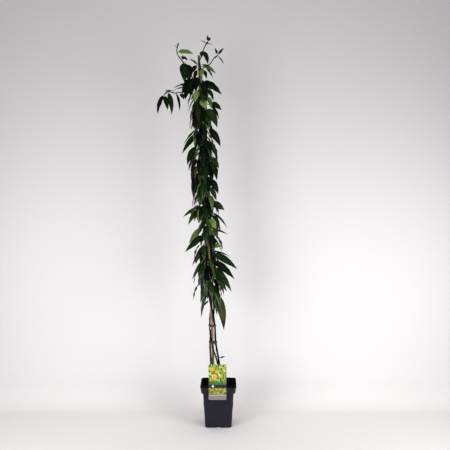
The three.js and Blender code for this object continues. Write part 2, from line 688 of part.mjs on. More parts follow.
function labelShape() {
  const back = -RIM_HALF - GAP;
  const front = back - LABEL_THICKNESS;
  const right = LABEL_WIDTH / 2 - LABEL_CORNER;
  const top = LABEL_HEIGHT - LABEL_CORNER;
  const quarter = Math.PI / 2;
  const card = new THREE.Shape();
  card.absarc(right, top, LABEL_CORNER, 0, quarter);
  card.absarc(-right, top, LABEL_CORNER, quarter, 2 * quarter);
  card.absarc(-right, LABEL_CORNER, LABEL_CORNER, 2 * quarter, 3 * quarter);
  card.absarc(right, LABEL_CORNER, LABEL_CORNER, 3 * quarter, 4 * quarter);
  const sheet = new THREE.ExtrudeGeometry(card, {
    depth: LABEL_THICKNESS,
    bevelEnabled: false,
    curveSegments: LABEL_CORNER_STEPS,
  });
  sheet.rotateX(quarter);
  sheet.translate(LABEL_X, back, LABEL_FOOT);
  const inner = -RIM_HALF + POT_WALL + 2 * GAP + LABEL_THICKNESS;
  const bridgeLevel = POT_HEIGHT + GAP + LABEL_THICKNESS / 2;
  const middle = (inner + front) / 2;
  const bridge = box(TONGUE_WIDTH, inner - front, LABEL_THICKNESS, LABEL_X, middle, bridgeLevel);
  const tongueFoot = POT_HEIGHT - TONGUE_DEPTH;
  const lean = (TONGUE_DEPTH * (RIM_HALF - COLLAR_FOOT_HALF)) / COLLAR_HEIGHT;
  const tongue = new THREE.BoxGeometry(TONGUE_WIDTH, LABEL_THICKNESS, bridgeLevel - tongueFoot);
  tongue.translate(LABEL_X, inner - LABEL_THICKNESS / 2, (bridgeLevel + tongueFoot) / 2);
  const position = tongue.attributes.position;
  for (let i = 0; i < position.count; i++) {
    if (position.getZ(i) < bridgeLevel) position.setY(i, position.getY(i) + lean);
  }
  return solidFrom(sheet).add(bridge).add(solidFrom(tongue));
}

// Build: the made pieces first, then the stems, then the leaves that keep clear of them

const pot = potShape();
const cane = caneShape();
const label = labelShape();
const stemTubes = new Map(STEMS.map((stem) => [stem.name, stemTube(stem, 0, STEM_BOTTOM)]));
const ties = TIES.map((tie) => [tie.name, tieShape(tie)]);

remember('pot', pot, false);
remember('cane', cane, false);
remember('label', label, false);
ties.forEach(([name, shape]) => remember(name, shape, false));
for (const stem of STEMS) {
  remember(stem.name, stemTubes.get(stem.name), true);
  foliage.get(stem.name).push(stemTubes.get(stem.name));
  for (const shoot of stem.shoots) {
    const shape = shootTube(stem, shoot);
    remember(stem.name, shape, false);
    foliage.get(stem.name).push(shape);
  }
}

const pixel = VIEW_DISTANCE / VIEW_FOCAL_PIXELS;

for (const [name, shoot, point, base, tip, width, facing, arch] of SHOOT_LEAVES) {
  const stem = STEMS.find((one) => one.name === name);
  const from = inView(stem.shoots[shoot].points[point]);
  growLeaf(SMALL_TURNS.map((turn) => (
    [name, spannedLeaf(from, inView(base), inView(tip), width * pixel, facing, arch, turn)]
  )));
}

// An outline leaf grows from the nearest stem that it can reach, a little above its base
for (const [basePixel, tipPixel, width, facing, arch] of OUTLINE_LEAVES) {
  const base = inView(basePixel);
  const bearers = STEMS.filter((stem) => base.z < stem.end)
    .map((stem) => ({ stem, gap: stemAt(stem, base.z).distanceTo(base) }))
    .sort((one, other) => one.gap - other.gap);
  const choices = [];
  for (const turn of SMALL_TURNS) {
    for (const { stem, gap } of bearers) {
      for (const lift of ATTACH_LIFTS) {
        const from = stemAt(stem, Math.min(base.z + Math.min(lift * gap, MOST_LIFT), stem.end));
        const leaf = spannedLeaf(from, base, inView(tipPixel), width * pixel, facing, arch, turn);
        choices.push([stem.name, leaf]);
      }
    }
  }
  growLeaf(choices);
}

const draw = seeded(LEAF_SEED);

// A pair of leaves on a short side shoot, which leaves the stem at from
function growPair(stem, from, reach, facing, steeper) {
  for (const side of [1, -1]) {
    const azimuth = facing + side * radians(pick(SPREAD_DEGREES, draw()));
    const pitch = radians(pick(PITCH_DEGREES, draw()) - steeper);
    const arch = radians(pick(ARCH_DEGREES, draw()));
    const height = (from.z - SOIL_TOP) / (CANE_TOP - SOIL_TOP);
    const length = pick(LEAF_LENGTH, draw()) * (1 - LEAF_TAPER_WITH_HEIGHT * height);
    const width = length * pick(LEAF_SLENDERNESS, draw());
    const roll = radians(ROLL_DEGREES * (draw() - 0.5));
    growLeaf(TURNS.map((turn) => {
      const turned = azimuth + radians(turn[0]);
      const sunk = pitch + radians(turn[1]);
      const out = reach + PETIOLE_LENGTH * Math.cos(sunk + arch);
      const base = from.clone().add(vector(
        out * Math.cos((turned + facing) / 2),
        out * Math.sin((turned + facing) / 2),
        PETIOLE_LENGTH * Math.sin(sunk + arch),
      ));
      return [stem.name, { from, base, azimuth: turned, pitch: sunk, arch, length, width, roll }];
    }));
  }
}

for (const stem of STEMS) {
  let level = stem.leaves[0];
  while (level < stem.leaves[1]) {
    const from = stemAt(stem, level);
    const facing = stemAngle(stem, level);
    const shootTurn = radians(SHOOT_SPREAD_DEGREES * (draw() - 0.5));
    const shootReach = pick(SHOOT_REACH, draw());
    growPair(stem, from, 0, facing, 0);
    growPair(stem, stemAt(stem, level + SHOOT_ABOVE), shootReach, facing + shootTurn, SHOOT_STEEPER_DEGREES);
    level += pick(INTERNODE, draw());
  }
}

const plant = new THREE.Group();
plant.add(asMesh('pot', pot, COLOURS.pot, 0.45));
plant.add(asMesh('soil', soilShape(), COLOURS.soil, 1));
plant.add(asMesh('cane', cane, COLOURS.cane, 0.5));
plant.add(asMesh('label', label, COLOURS.label, 0.35));
ties.forEach(([name, shape]) => plant.add(asMesh(name, shape, COLOURS.tie, 0.8)));
for (const stem of STEMS) {
  const joined = wasm.Manifold.union(foliage.get(stem.name));
  plant.add(asMesh(stem.name, joined, COLOURS.foliage, 0.4));
}

export default plant;
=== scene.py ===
"""A young evergreen honeysuckle with copper new growth, on a bamboo cane in a square nursery pot.

The looks of the plant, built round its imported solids. Meshes are in metres, +Z up, and the front of
the pot faces -Y. The plant's plan (where stems run and leaves grow) is drawn in millimetres, as the
solids are, and is turned to metres where meshes are made.
"""

import math
import random
from dataclasses import dataclass, field

import bmesh
import bpy
import numpy as np
from bpy.props import FloatProperty, FloatVectorProperty, IntProperty, PointerProperty
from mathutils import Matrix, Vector, noise
from mathutils.bvhtree import BVHTree


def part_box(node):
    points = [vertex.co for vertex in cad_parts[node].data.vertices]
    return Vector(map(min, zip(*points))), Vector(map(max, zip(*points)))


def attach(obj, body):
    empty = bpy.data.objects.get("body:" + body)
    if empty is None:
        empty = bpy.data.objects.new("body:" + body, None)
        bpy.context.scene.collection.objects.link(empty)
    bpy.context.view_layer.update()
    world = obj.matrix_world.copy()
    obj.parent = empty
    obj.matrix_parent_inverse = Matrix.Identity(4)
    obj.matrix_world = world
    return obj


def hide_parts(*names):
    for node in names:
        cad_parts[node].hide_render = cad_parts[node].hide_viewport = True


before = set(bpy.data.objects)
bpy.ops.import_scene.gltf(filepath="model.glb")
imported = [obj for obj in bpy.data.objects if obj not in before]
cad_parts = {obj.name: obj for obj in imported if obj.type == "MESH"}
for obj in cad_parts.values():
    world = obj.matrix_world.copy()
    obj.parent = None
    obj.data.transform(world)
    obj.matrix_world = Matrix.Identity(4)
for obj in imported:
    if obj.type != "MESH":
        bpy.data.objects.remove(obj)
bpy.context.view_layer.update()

bl_info = {
    "name": "Potted honeysuckle",
    "version": (1, 0, 0),
    "blender": (4, 5, 0),
    "location": "3D View > Sidebar > Honeysuckle",
    "description": "A climbing honeysuckle on a cane, with its pot, soil, ties and label",
    "category": "Add Mesh",
}

MM = 0.001
BODY = "root"


def linear(hex_colour):
    """An sRGB hex colour as linear red, green, blue and alpha."""
    channels = [int(hex_colour[i:i + 2], 16) / 255 for i in (1, 3, 5)]
    return tuple(c / 12.92 if c <= 0.04045 else ((c + 0.055) / 1.055) ** 2.4 for c in channels) + (1.0,)


def colour(name, hex_colour):
    """A colour that the user can change, with its default."""
    return FloatVectorProperty(
        name=name, description=name + " as the eye sees it in plain light",
        subtype="COLOR", size=4, min=0.0, max=1.0, default=linear(hex_colour),
    )


def length(name, description, millimetres):
    """A length that the user can change, given in millimetres and held in metres."""
    return FloatProperty(name=name, description=description, default=millimetres * MM, unit="LENGTH")


# What the user can change

class PotSettings(bpy.types.PropertyGroup):
    """The moulded pot."""
    wall: length("Wall", "Thickness of the wall", 1.4)
    edge: length("Edge", "Rounding of the moulded edges", 0.5)
    bead: length("Bead", "How proud the rim's bead is", 0.7)
    rib: length("Rib", "How proud the band on the wall is", 0.9)
    plastic: colour("Plastic", "#161628")
    worn: colour("Scuffed plastic", "#212036")
    # The inside's near black is painted shade, for the shade inside the pot
    damp: colour("Painted shade inside", "#08070a")


class SoilSettings(bpy.types.PropertyGroup):
    """The compost in the pot."""
    relief: length("Relief", "Height of its lumps", 2.4)
    crumbs: IntProperty(name="Crumbs", description="Loose crumbs on top", default=320, min=0, max=600)
    damp: colour("Damp compost", "#0d0906")
    dry: colour("Dry compost", "#3a2a1c")


class CaneSettings(bpy.types.PropertyGroup):
    """The bamboo cane."""
    ridge: length("Ridge", "How proud its rings stand", 0.9)
    bore: length("Bore", "Depth of the hollow at its cut top", 9)
    pale: colour("Pale bamboo", "#b59a76")
    tan: colour("Tan bamboo", "#735a42")
    scar: colour("Ring scar", "#3f2c1b")


class FoliageSettings(bpy.types.PropertyGroup):
    """Stems and leaves."""
    blade: length("Blade", "Thickness of a leaf", 0.45)
    fold: FloatProperty(name="Fold", description="Rise of a leaf's halves from its midrib", default=0.34)
    curl: FloatProperty(name="Curl", description="Fall of a leaf's margins", default=0.3)
    wave: FloatProperty(name="Wave", description="Waves along a leaf's margins", default=0.13)
    swelling: length("Swelling", "How a stem swells where leaves grow", 0.8)
    deep: colour("Old leaf, deep", "#040f03")
    fresh: colour("Old leaf, fresh", "#113510")
    young: colour("Young leaf", "#8ca55a")
    copper: colour("Copper new growth", "#301515")
    under: colour("Underside", "#38492f")
    vein: colour("Vein", "#6d8450")
    dead: colour("Dried tip", "#2c1a0f")
    bark: colour("Old bark", "#1e130f")
    twig: colour("Young twig", "#1a0d0b")


class TieSettings(bpy.types.PropertyGroup):
    """The cords that hold the stems to the cane."""
    thickness: length("Thickness", "Thickness of the cord", 2.4)
    tail: length("Tail", "Length of its twisted ends", 11)
    jute: colour("Cord", "#4f463f")


class LabelSettings(bpy.types.PropertyGroup):
    """The plant label."""
    card: length("Card", "Thickness of the card", 0.6)
    bow: length("Bow", "How far its sides bow forward", 0.9)
    leaf_light: colour("Print, light leaves", "#c4d660")
    leaf_deep: colour("Print, deep leaves", "#1f4420")
    flower: colour("Print, blossom", "#e3bd48")
    glow: colour("Print, blossom's heart", "#cf6a2a")
    band: colour("Print, dark band", "#16261c")
    pale: colour("Print, grey strip", "#9a9496")
    back: colour("Unprinted back", "#e9e7e1")


class StageSettings(bpy.types.PropertyGroup):
    """Floor, backdrop and lights."""
    floor: colour("Floor", "#f2f0ee")
    wall: colour("Backdrop", "#e7e6e6")
    left_power: FloatProperty(name="Left light", description="Watts of the left soft light", default=5.9)
    right_power: FloatProperty(name="Right light", description="Watts of the right soft light", default=6.2)
    sky: FloatProperty(name="Fill", description="Strength of the even fill light", default=0.5)
    gloom: FloatProperty(name="Gloom", description="How bright the room is in reflections", default=0.08)
    room: FloatProperty(name="Room", description="How bright the room looks beyond the stage", default=0.62)


# Making pieces

def clear_selection():
    if bpy.context.object and bpy.context.object.mode != "OBJECT":
        bpy.ops.object.mode_set(mode="OBJECT")
    bpy.ops.object.select_all(action="DESELECT")


def select_only(piece):
    clear_selection()
    piece.select_set(True)
    bpy.context.view_layer.objects.active = piece


def edit(piece):
    """Opens a piece in edit mode with all of it selected."""
    select_only(piece)
    bpy.ops.object.mode_set(mode="EDIT")
    bpy.ops.mesh.select_mode(type="VERT")
    bpy.ops.mesh.select_all(action="SELECT")


def turn_faces(inside=False):
    """Turns the faces of the piece in edit mode outwards, or inwards, and leaves edit mode."""
    bpy.ops.mesh.select_all(action="SELECT")
    bpy.ops.mesh.normals_make_consistent(inside=inside)
    bpy.ops.object.mode_set(mode="OBJECT")


def select_faces(piece, wanted):
    """In edit mode, selects the faces that wanted(centre, normal) picks."""
    bpy.ops.mesh.select_mode(type="FACE")
    bpy.ops.mesh.select_all(action="DESELECT")
    shape = bmesh.from_edit_mesh(piece.data)
    for face in shape.faces:
        face.select = wanted(face.calc_center_median(), face.normal)
    shape.select_flush_mode()
    bmesh.update_edit_mesh(piece.data)


def added(name):
    """Names the piece that an operator has just added."""
    piece = bpy.context.object
    piece.name = name
    piece.data.name = name
    return piece


def apply_modifier(piece, kind, **settings):
    """Adds a modifier with its settings and applies it."""
    select_only(piece)
    modifier = piece.modifiers.new(kind.title(), kind)
    for key, value in settings.items():
        setattr(modifier, key, value)
    bpy.ops.object.modifier_apply(modifier=modifier.name)


def copy_of(template):
    """A copy of a piece with its own mesh."""
    piece = template.copy()
    piece.data = template.data.copy()
    bpy.context.collection.objects.link(piece)
    return piece


def discard(piece):
    mesh = piece.data
    bpy.data.objects.remove(piece)
    bpy.data.meshes.remove(mesh)


def joined(name, pieces):
    """Joins pieces into one."""
    clear_selection()
    for piece in pieces:
        piece.select_set(True)
    bpy.context.view_layer.objects.active = pieces[0]
    bpy.ops.object.join()
    return added(name)


def smooth(piece, degrees):
    """Shades a piece smooth, with edges sharper than the angle left crisp."""
    select_only(piece)
    bpy.ops.object.shade_smooth_by_angle(angle=math.radians(degrees))


def set_places(piece, places):
    """Moves every vertex of a piece to its row of an array, in metres."""
    piece.data.vertices.foreach_set("co", np.asarray(places, np.float32).ravel())
    piece.data.update()


def get_places(piece):
    places = np.zeros(len(piece.data.vertices) * 3, np.float32)
    piece.data.vertices.foreach_get("co", places)
    return places.reshape(-1, 3).astype(float)


def mark(piece, name, values):
    """Stores one number a vertex."""
    layer = piece.data.attributes.new(name, "FLOAT", "POINT")
    layer.data.foreach_set("value", np.asarray(values, np.float32))


def wear(piece, *materials):
    """Gives a piece its materials, in the order of its slots."""
    piece.data.materials.clear()
    for material in materials:
        piece.data.materials.append(material)


def install(piece, slot, *nodes):
    """Sets a piece in the plant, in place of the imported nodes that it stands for."""
    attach(piece, BODY)
    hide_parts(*nodes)


def through(stations, steps):
    """A smooth curve through points, with so many steps to each span."""
    points = [2 * stations[0] - stations[1]] + list(stations) + [2 * stations[-1] - stations[-2]]
    curve = []
    for before, start, end, after in zip(points, points[1:], points[2:], points[3:]):
        for step in range(steps):
            t = step / steps
            curve.append(0.5 * (
                2 * start + (end - before) * t
                + (2 * before - 5 * start + 4 * end - after) * t * t
                + (3 * start - before - 3 * end + after) * t ** 3
            ))
    curve.append(stations[-1])
    return np.array(curve)


def directions(path):
    """The direction of a path at each of its points."""
    along = np.gradient(path, axis=0)
    return along / np.linalg.norm(along, axis=1)[:, None]


def level_spoke(angle):
    """The level direction at an angle round the plant."""
    return np.array([math.cos(angle), math.sin(angle), 0.0])


def rolled_tube(name, path, radii, sides, first_side=(1.0, 0.3, 0.2)):
    """A grid rolled round a path into a tube with closed ends. Its UV runs along it and round it."""
    rings = len(path) - 1
    clear_selection()
    bpy.ops.mesh.primitive_grid_add(x_subdivisions=rings, y_subdivisions=sides, size=1)
    tube = added(name)
    flat = get_places(tube)
    ring = np.rint((flat[:, 0] + 0.5) * rings).astype(int)
    angle = 2 * math.pi * (flat[:, 1] + 0.5)
    path = np.asarray(path, float)
    along = directions(path)
    sideways = []
    hint = np.asarray(first_side, float)
    for direction in along:
        hint = hint - direction * hint.dot(direction)
        hint = hint / np.linalg.norm(hint)
        sideways.append(hint)
    sideways = np.array(sideways)
    other = np.cross(along, sideways)
    radius = np.asarray(radii, float)[ring][:, None]
    spoke = np.cos(angle)[:, None] * sideways[ring] + np.sin(angle)[:, None] * other[ring]
    set_places(tube, path[ring] + radius * spoke)
    edit(tube)
    bpy.ops.mesh.remove_doubles(threshold=1e-6)
    bpy.ops.mesh.fill_holes(sides=0)
    turn_faces()
    smooth(tube, 50)
    return tube


# The plan of the plant, in millimetres

SOIL_TOP = 139
POT_HEIGHT = 165
COLLAR_FOOT = 141
BASE_HALF = 53.5
BASE_CORNER = 11
BODY_TOP_HALF = 62
COLLAR_FOOT_HALF = 68.5
RIM_HALF = 72.5
# The raised band on the pot's wall and the bead at its rim
WALL_BAND = (83, 100)
BEAD_HEIGHT = 2.4
EDGE_BLEND = 0.6

# The compost: rows of its grid, share of its half width that its round corners take, size of its
# lumps, and one loose crumb in so many is a bark chip
SOIL_ROWS = 56
SOIL_CORNER = 0.16
LUMP_SIZE = 9
CHIP_EVERY = 6
CRUMB_SEED = 11

CANE_BOTTOM = 22
CANE_TOP = 1519
CANE_FOOT_X = -19
CANE_TOP_X = -82
CANE_BOW = 5
CANE_BOW_LENGTH = 850
CANE_RADIUS = (5.6, 4.9)
CANE_NODE_RISE = 0.8
CANE_STEP = 18
CANE_NODES = (96, 218, 362, 528, 705, 893, 1084, 1277, 1458)

STEM_BOTTOM = 92
STEM_STEP = 12.0
# The bare part of a stem has a swelling at each old pair of leaves, so far apart
BARE_KNOT_GAP = 47.0
TWINE_PITCH = 340
TWINE_CLEARANCE = 0.9
TWINE_LEVEL = 400
SHOOT_TIP_RADIUS = 1.35
# The soft down on a free shoot makes it look this much thicker
SHOOT_DOWN = 0.3
# Height of each tie and the angle of its twisted ends, in degrees
TIES = {
    "tie_low": (333, -70),
    "tie_middle": (402, -110),
    "tie_upper": (560, -60),
    "tie_top": (858, -95),
}
# How far above and below a cord it holds a stem still, and its clearance from the stems
TIE_GRIP = 14
TIE_CLEARANCE = 0.45
TIE_TURNS = 3
TIE_STEPS = 26
# Strands of the cord, counted round it and along the whole of it
STRANDS_ROUND = 2.0
STRANDS_ALONG = 44.0

PETIOLE_LENGTH = 9
LEAST_RUN_ON = 0.15
ATTACH_LIFTS = (0.3, 0.8, 0, 1.2)
MOST_LIFT = 30

# A point is given by its column and row in the 450 by 450 frame of the reference and its depth
VIEW_DISTANCE = 2421.5
VIEW_HEIGHT = 820.9
VIEW_X = 26.9
VIEW_FOCAL_PIXELS = 585
VIEW_CENTRE_PIXEL = 225
FRAME_PIXELS = 450
PIXEL = VIEW_DISTANCE / VIEW_FOCAL_PIXELS
# The camera stands nearer than the view that the leaves were placed in, with a wider lens to match,
# so that it sees as far into the pot's mouth as the reference does
CAMERA_DISTANCE = 2130
CAMERA_HEIGHT = 818.2
CAMERA_FOCAL_PIXELS = 514.6

LEAF_SEED = 4127
INTERNODE = (54, 22)
SPREAD_DEGREES = (34, 26)
PITCH_DEGREES = (-58, -16)
ARCH_DEGREES = (12, 16)
ROLL_DEGREES = 50
LEAF_LENGTH = (72, 26)
LEAF_TAPER_WITH_HEIGHT = 0.14
LEAF_SLENDERNESS = (0.3, 0.06)
SHOOT_REACH = (12, 10)
SHOOT_ABOVE = 12
SHOOT_SPREAD_DEGREES = 70
SHOOT_STEEPER_DEGREES = 8
SMALL_TURNS = ((0, 0), (9, 0), (-9, 0), (0, -7), (0, 7), (18, -4), (-18, -4), (27, -8), (-27, -8))
TURNS = SMALL_TURNS + ((12, 9), (-12, 9), (38, -10), (-38, -10), (50, -4), (-50, -4))

STEMS = (
    {
        "name": "right", "foot": (25, 4), "closing": (230, 420), "phase": 0, "radius": (4.3, 1.9),
        "end": 1500, "leaves": (578, 1440),
        "shoots": (
            (1494, ((201.4, 57, -8), (203.2, 51.5, -8), (204.6, 47.6, -7), (206.6, 44.4, -7),
                    (208.2, 42, -7))),
            (1456, ((205, 67.6, -10), (210.2, 64.6, -10), (213.2, 60, -10), (217.6, 56.2, -9))),
        ),
    },
    {
        "name": "back", "foot": (-13, -4), "closing": (190, 325), "phase": 90, "radius": (3.9, 1.9),
        "end": 1404, "leaves": (590, 1390),
        "shoots": (
            (1398, ((193, 79, -2), (187.6, 70, -6), (182.6, 62.5, -8), (179.2, 58, -7), (177, 53, -5),
                    (177.3, 48, -4), (178.6, 43.4, -4))),
        ),
    },
    {
        "name": "left", "foot": (22, -8), "closing": (200, 320), "phase": 180, "radius": (3.2, 1.7),
        "end": 1345, "leaves": (602, 1320),
        "shoots": (
            (1339, ((190, 93.5, -10), (181, 93.1, -12), (174, 93.8, -12), (168.5, 92.3, -12),
                    (164.4, 95.4, -12))),
        ),
    },
)

# Leaves that give the plant its outline: stem, free shoot and point where one bears it, then the
# base and tip by pixel and depth, width in pixels, how far it faces the viewer, arch in degrees
# and its tone
# A light or olive tone in these two tables is painted light: the leaf is made paler where light falls on it
SHOOT_LEAVES = (
    ("right", 0, 3, (206.4, 44.2, -8), (200.2, 41.2, -16), 1.6, 0.5, 14, "copper"),
    ("right", 0, 3, (207.4, 44.2, -6), (212.8, 45.8, 2), 1.8, 0.4, 16, "copper"),
    ("right", 0, 4, (208.1, 41.6, -8), (207.2, 35.8, -9), 2.2, 0.8, 6, "green"),
    ("right", 0, 4, (208.6, 41.4, -6), (210.4, 38, -2), 2, 0.8, 8, "dark"),
    ("right", 0, 1, (202.2, 52.2, -10), (201.6, 58.4, -16), 4, 0.7, 12, "copper"),
    ("right", 0, 1, (204, 52.4, -8), (207.9, 65.2, -12), 4.6, 0.8, 14, "copper"),
    ("right", 1, 3, (217, 54.4, -9), (214.8, 48.6, -6), 1.9, 0.6, 8, "dark"),
    ("right", 1, 3, (218.5, 55, -9), (224, 48.6, -12), 2.2, 0.7, 8, "dark"),
    ("right", 1, 3, (218.6, 57.4, -10), (223.8, 65, -18), 1.5, 0.4, 10, "green"),
    ("back", 0, 4, (178.6, 52.7, -5), (193.6, 55.2, -10), 5.4, 0.75, 24, "olive"),
    ("back", 0, 3, (181, 57.6, -8), (187.6, 61.4, -16), 3, 0.6, 26, "dark"),
    ("back", 0, 2, (182.8, 60.4, -8), (182.6, 55.6, -14), 2.6, 0.8, 10, "light"),
    ("back", 0, 6, (178.7, 42.8, -4), (179, 38.6, -6), 1.2, 0.4, 6, "copper"),
    ("back", 0, 5, (176.8, 48.2, -4), (174.4, 46, -2), 1, 0.3, 6, "copper"),
    ("back", 0, 2, (183.6, 64, -10), (184.4, 83.4, -16), 9, 0.9, 12, "dark"),
    ("back", 0, 2, (187, 65.4, -8), (188.4, 82.4, -12), 9, 0.85, 14, "dark"),
    ("back", 0, 0, (191.2, 80.6, -8), (185.4, 101, -18), 7.6, 0.9, 12, "dark"),
    ("back", 0, 0, (190.4, 79.4, -4), (182, 95, -8), 6.4, 0.85, 12, "dark"),
    ("back", 0, 0, (193.6, 81.4, -12), (190.6, 98.6, -26), 6.6, 0.85, 12, "dark"),
    ("left", 0, 4, (163.4, 96.4, -12), (158, 115.4, -14), 4.6, 0.8, 20, "dark"),
    ("left", 0, 4, (164.6, 97, -14), (167.6, 111, -18), 5, 0.8, 10, "dark"),
    ("left", 0, 3, (168.6, 94, -14), (171.8, 115.8, -20), 5, 0.8, 12, "dark"),
    ("left", 0, 2, (172, 91.4, -12), (165, 92.4, -26), 3, 0.4, 14, "light"),
    ("left", 0, 2, (176.4, 94.4, -12), (179.4, 112.2, -14), 2.4, 0.5, 16, "dark"),
    ("left", 0, 1, (181, 94.4, -14), (184.4, 100.6, -24), 4.6, 0.7, 16, "green"),
)
OUTLINE_LEAVES = (
    ((197, 65, -6), (188.6, 59.6, -12), 3, 0.5, 20, "purple"),
    ((196.4, 66.2, -8), (191.2, 75, -14), 4.6, 0.8, 12, "purple"),
    ((196.6, 71, -10), (194.4, 82.6, -18), 3.6, 0.7, 12, "purple"),
    ((202.4, 65.4, -8), (215.8, 74.8, -12), 4.4, 0.7, 18, "light"),
    ((206, 68.4, -12), (212.8, 79.2, -16), 2.2, 0.5, 16, "green"),
    ((202.6, 69.6, -12), (201, 79, -22), 4.4, 0.8, 12, "olive"),
    ((204, 71, -10), (206.4, 79.6, -14), 3, 0.7, 12, "dark"),
    ((204.4, 82, -10), (221.8, 95.6, -14), 7, 0.8, 12, "dark"),
    ((204, 85.4, -18), (216, 91, -26), 5.6, 0.7, 10, "dark"),
    ((208.6, 90, -10), (213.6, 101, -12), 3.4, 0.7, 10, "dark"),
    ((189.4, 84.6, -10), (172.8, 89.4, -14), 2.8, 0.5, 18, "dark"),
    ((188, 87, -14), (171.4, 93.2, -20), 2.6, 0.4, 12, "green"),
    ((198, 78, -12), (194.6, 92, -22), 6.5, 0.85, 12, "dark"),
    ((203, 82, -16), (204.6, 100, -30), 7, 0.9, 12, "dark"),
    ((193.6, 79, -12), (189.4, 95, -22), 7, 0.85, 12, "dark"),
    ((194, 86, -16), (187, 102.6, -28), 6, 0.9, 12, "dark"),
    ((197.4, 92, -16), (195.4, 103, -28), 5.6, 0.9, 14, "young"),
    ((203, 90, -18), (203.6, 104, -32), 7, 0.9, 12, "green"),
    ((195.6, 102, -8), (192.6, 119.6, -14), 3.4, 0.7, 8, "dark"),
    ((198.4, 93.6, -14), (191, 100.4, -30), 5, 0.6, 20, "light"),
    ((201.4, 101, -18), (205.6, 110, -34), 7, 0.7, 20, "young"),
    ((208, 98, -14), (211.6, 109.6, -20), 4, 0.8, 12, "light"),
    ((211, 103.8, -6), (221.6, 111.2, -8), 6.4, 0.8, 18, "dark"),
    ((211.6, 106.6, -10), (218.8, 120, -12), 3, 0.6, 16, "dark"),
    ((207.6, 109.8, -18), (217.2, 128.4, -28), 8, 0.9, 14, "green"),
    ((200, 106.6, -20), (199.4, 131.6, -32), 9, 0.9, 14, "dark"),
    ((196.4, 110, -14), (194.6, 130, -24), 6, 0.8, 10, "dark"),
    ((204, 112, -18), (206.6, 131, -30), 7, 0.9, 10, "dark"),
    ((203, 126, -22), (203.6, 147, -36), 8, 0.9, 10, "dark"),
    ((196, 130, -6), (183.6, 145.2, -8), 2.4, 0.5, 10, "dark"),
    ((197.6, 133.6, -10), (182, 154.8, -16), 5.6, 0.8, 10, "dark"),
    ((209.4, 129.4, -8), (220.6, 147.6, -12), 7, 0.9, 12, "dark"),
    ((201, 132, -16), (199.6, 152, -28), 7, 0.9, 10, "dark"),
    ((208, 141.4, -10), (215.8, 155.8, -14), 3, 0.6, 20, "green"),
    ((206, 141, -16), (209, 161, -28), 8, 0.9, 12, "dark"),
    ((203.4, 146, -26), (203.8, 168, -40), 8.5, 0.9, 10, "dark"),
    ((196, 148, -8), (187.2, 166, -16), 7.2, 0.85, 14, "dark"),
    ((194, 158, -12), (188.8, 172, -18), 2.6, 0.5, 16, "green"),
    ((197, 160, -12), (191, 174, -20), 4, 0.7, 14, "dark"),
    ((210.6, 158, -10), (218.8, 169.6, -14), 6, 0.8, 16, "green"),
    ((211, 165.6, -14), (217, 177.6, -18), 3.4, 0.7, 12, "young"),
    ((201, 158, -16), (200.6, 180, -30), 8, 0.9, 12, "dark"),
    ((205, 163, -24), (205.4, 185, -38), 8, 0.9, 10, "dark"),
    ((197.4, 174, -10), (194, 200.8, -18), 7.2, 0.9, 12, "dark"),
    ((211, 180, -10), (218.2, 195, -14), 6, 0.8, 12, "dark"),
    ((206, 176, -16), (207.4, 199, -30), 8, 0.9, 12, "dark"),
    ((210, 188, -14), (216.4, 201.4, -18), 5, 0.8, 12, "green"),
    ((201.6, 184, -22), (201, 205, -36), 8, 0.9, 10, "green"),
    ((209.4, 196, -18), (209.6, 219, -30), 7.5, 0.9, 10, "dark"),
    ((196.6, 208.8, -6), (183, 218, -8), 3.4, 0.7, 12, "green"),
    ((199, 210.6, -10), (188.4, 225.8, -14), 5, 0.8, 18, "green"),
    ((212.6, 203.4, -10), (224.6, 210.8, -14), 7, 0.9, 8, "green"),
    ((213.6, 213.6, -8), (227, 228.8, -12), 2.2, 0.5, 16, "dark"),
    ((214.4, 215.6, -12), (219.6, 231, -16), 3.2, 0.6, 14, "dark"),
    ((208.6, 220.4, -16), (215.8, 229.6, -34), 8, 0.8, 18, "young"),
    ((211.6, 229.2, -6), (228.4, 235.2, -8), 2.2, 0.5, 8, "dark"),
    ((212.4, 230.4, -14), (213.6, 240.6, -22), 4, 0.8, 10, "young"),
    ((206.6, 226, -20), (205.8, 248, -34), 7, 0.9, 10, "dark"),
    ((200.6, 229.4, -14), (188.8, 244.4, -22), 5.6, 0.8, 8, "light"),
    ((206.4, 232.4, -20), (206.2, 242, -32), 3.4, 0.8, 10, "young"),
    ((203, 236.4, -10), (184.8, 253, -12), 6.4, 0.8, 6, "dark"),
    ((213.4, 246.8, -14), (222.6, 247.4, -26), 5, 0.6, 16, "young"),
    ((204.6, 245, -10), (192.2, 267, -12), 3.4, 0.7, 8, "dark"),
    ((205.6, 248, -14), (199.2, 266, -20), 5, 0.8, 8, "green"),
    ((213, 252, -6), (231.4, 258.6, -8), 2, 0.4, 18, "dark"),
    ((214.6, 254.4, -10), (237.4, 270, -14), 6.8, 0.85, 10, "dark"),
    ((211.6, 262, -20), (213, 284, -32), 8, 0.9, 10, "dark"),
    ((214.6, 262, -12), (234.6, 280, -16), 7, 0.8, 10, "dark"),
    ((214.6, 268, -14), (231.8, 293, -20), 6.6, 0.8, 10, "dark"),
    ((214, 273, -12), (227, 292.6, -18), 6, 0.8, 8, "green"),
    ((206, 259, -10), (192, 280.4, -14), 5, 0.7, 8, "dark"),
    ((207, 261, -14), (198, 287, -22), 6.4, 0.8, 8, "green"),
    ((208, 266, -16), (201.2, 294, -24), 7, 0.9, 8, "dark"),
    ((214, 286, -14), (220.6, 312.6, -20), 6, 0.8, 8, "green"),
    ((213.6, 293, -12), (216.8, 316, -18), 5, 0.8, 8, "dark"),
    ((217.6, 296, -8), (223.8, 331, -14), 8.4, 0.95, 10, "ageing"),
    ((207, 293, 4), (201.4, 319, 6), 2.8, 0.7, 12, "dark"),
    ((208.4, 301.6, -8), (203, 307.8, -10), 1.8, 0.5, 14, "green"),
    ((220.4, 358.6, -4), (225.2, 357, -8), 1.4, 0.6, 10, "dark"),
)
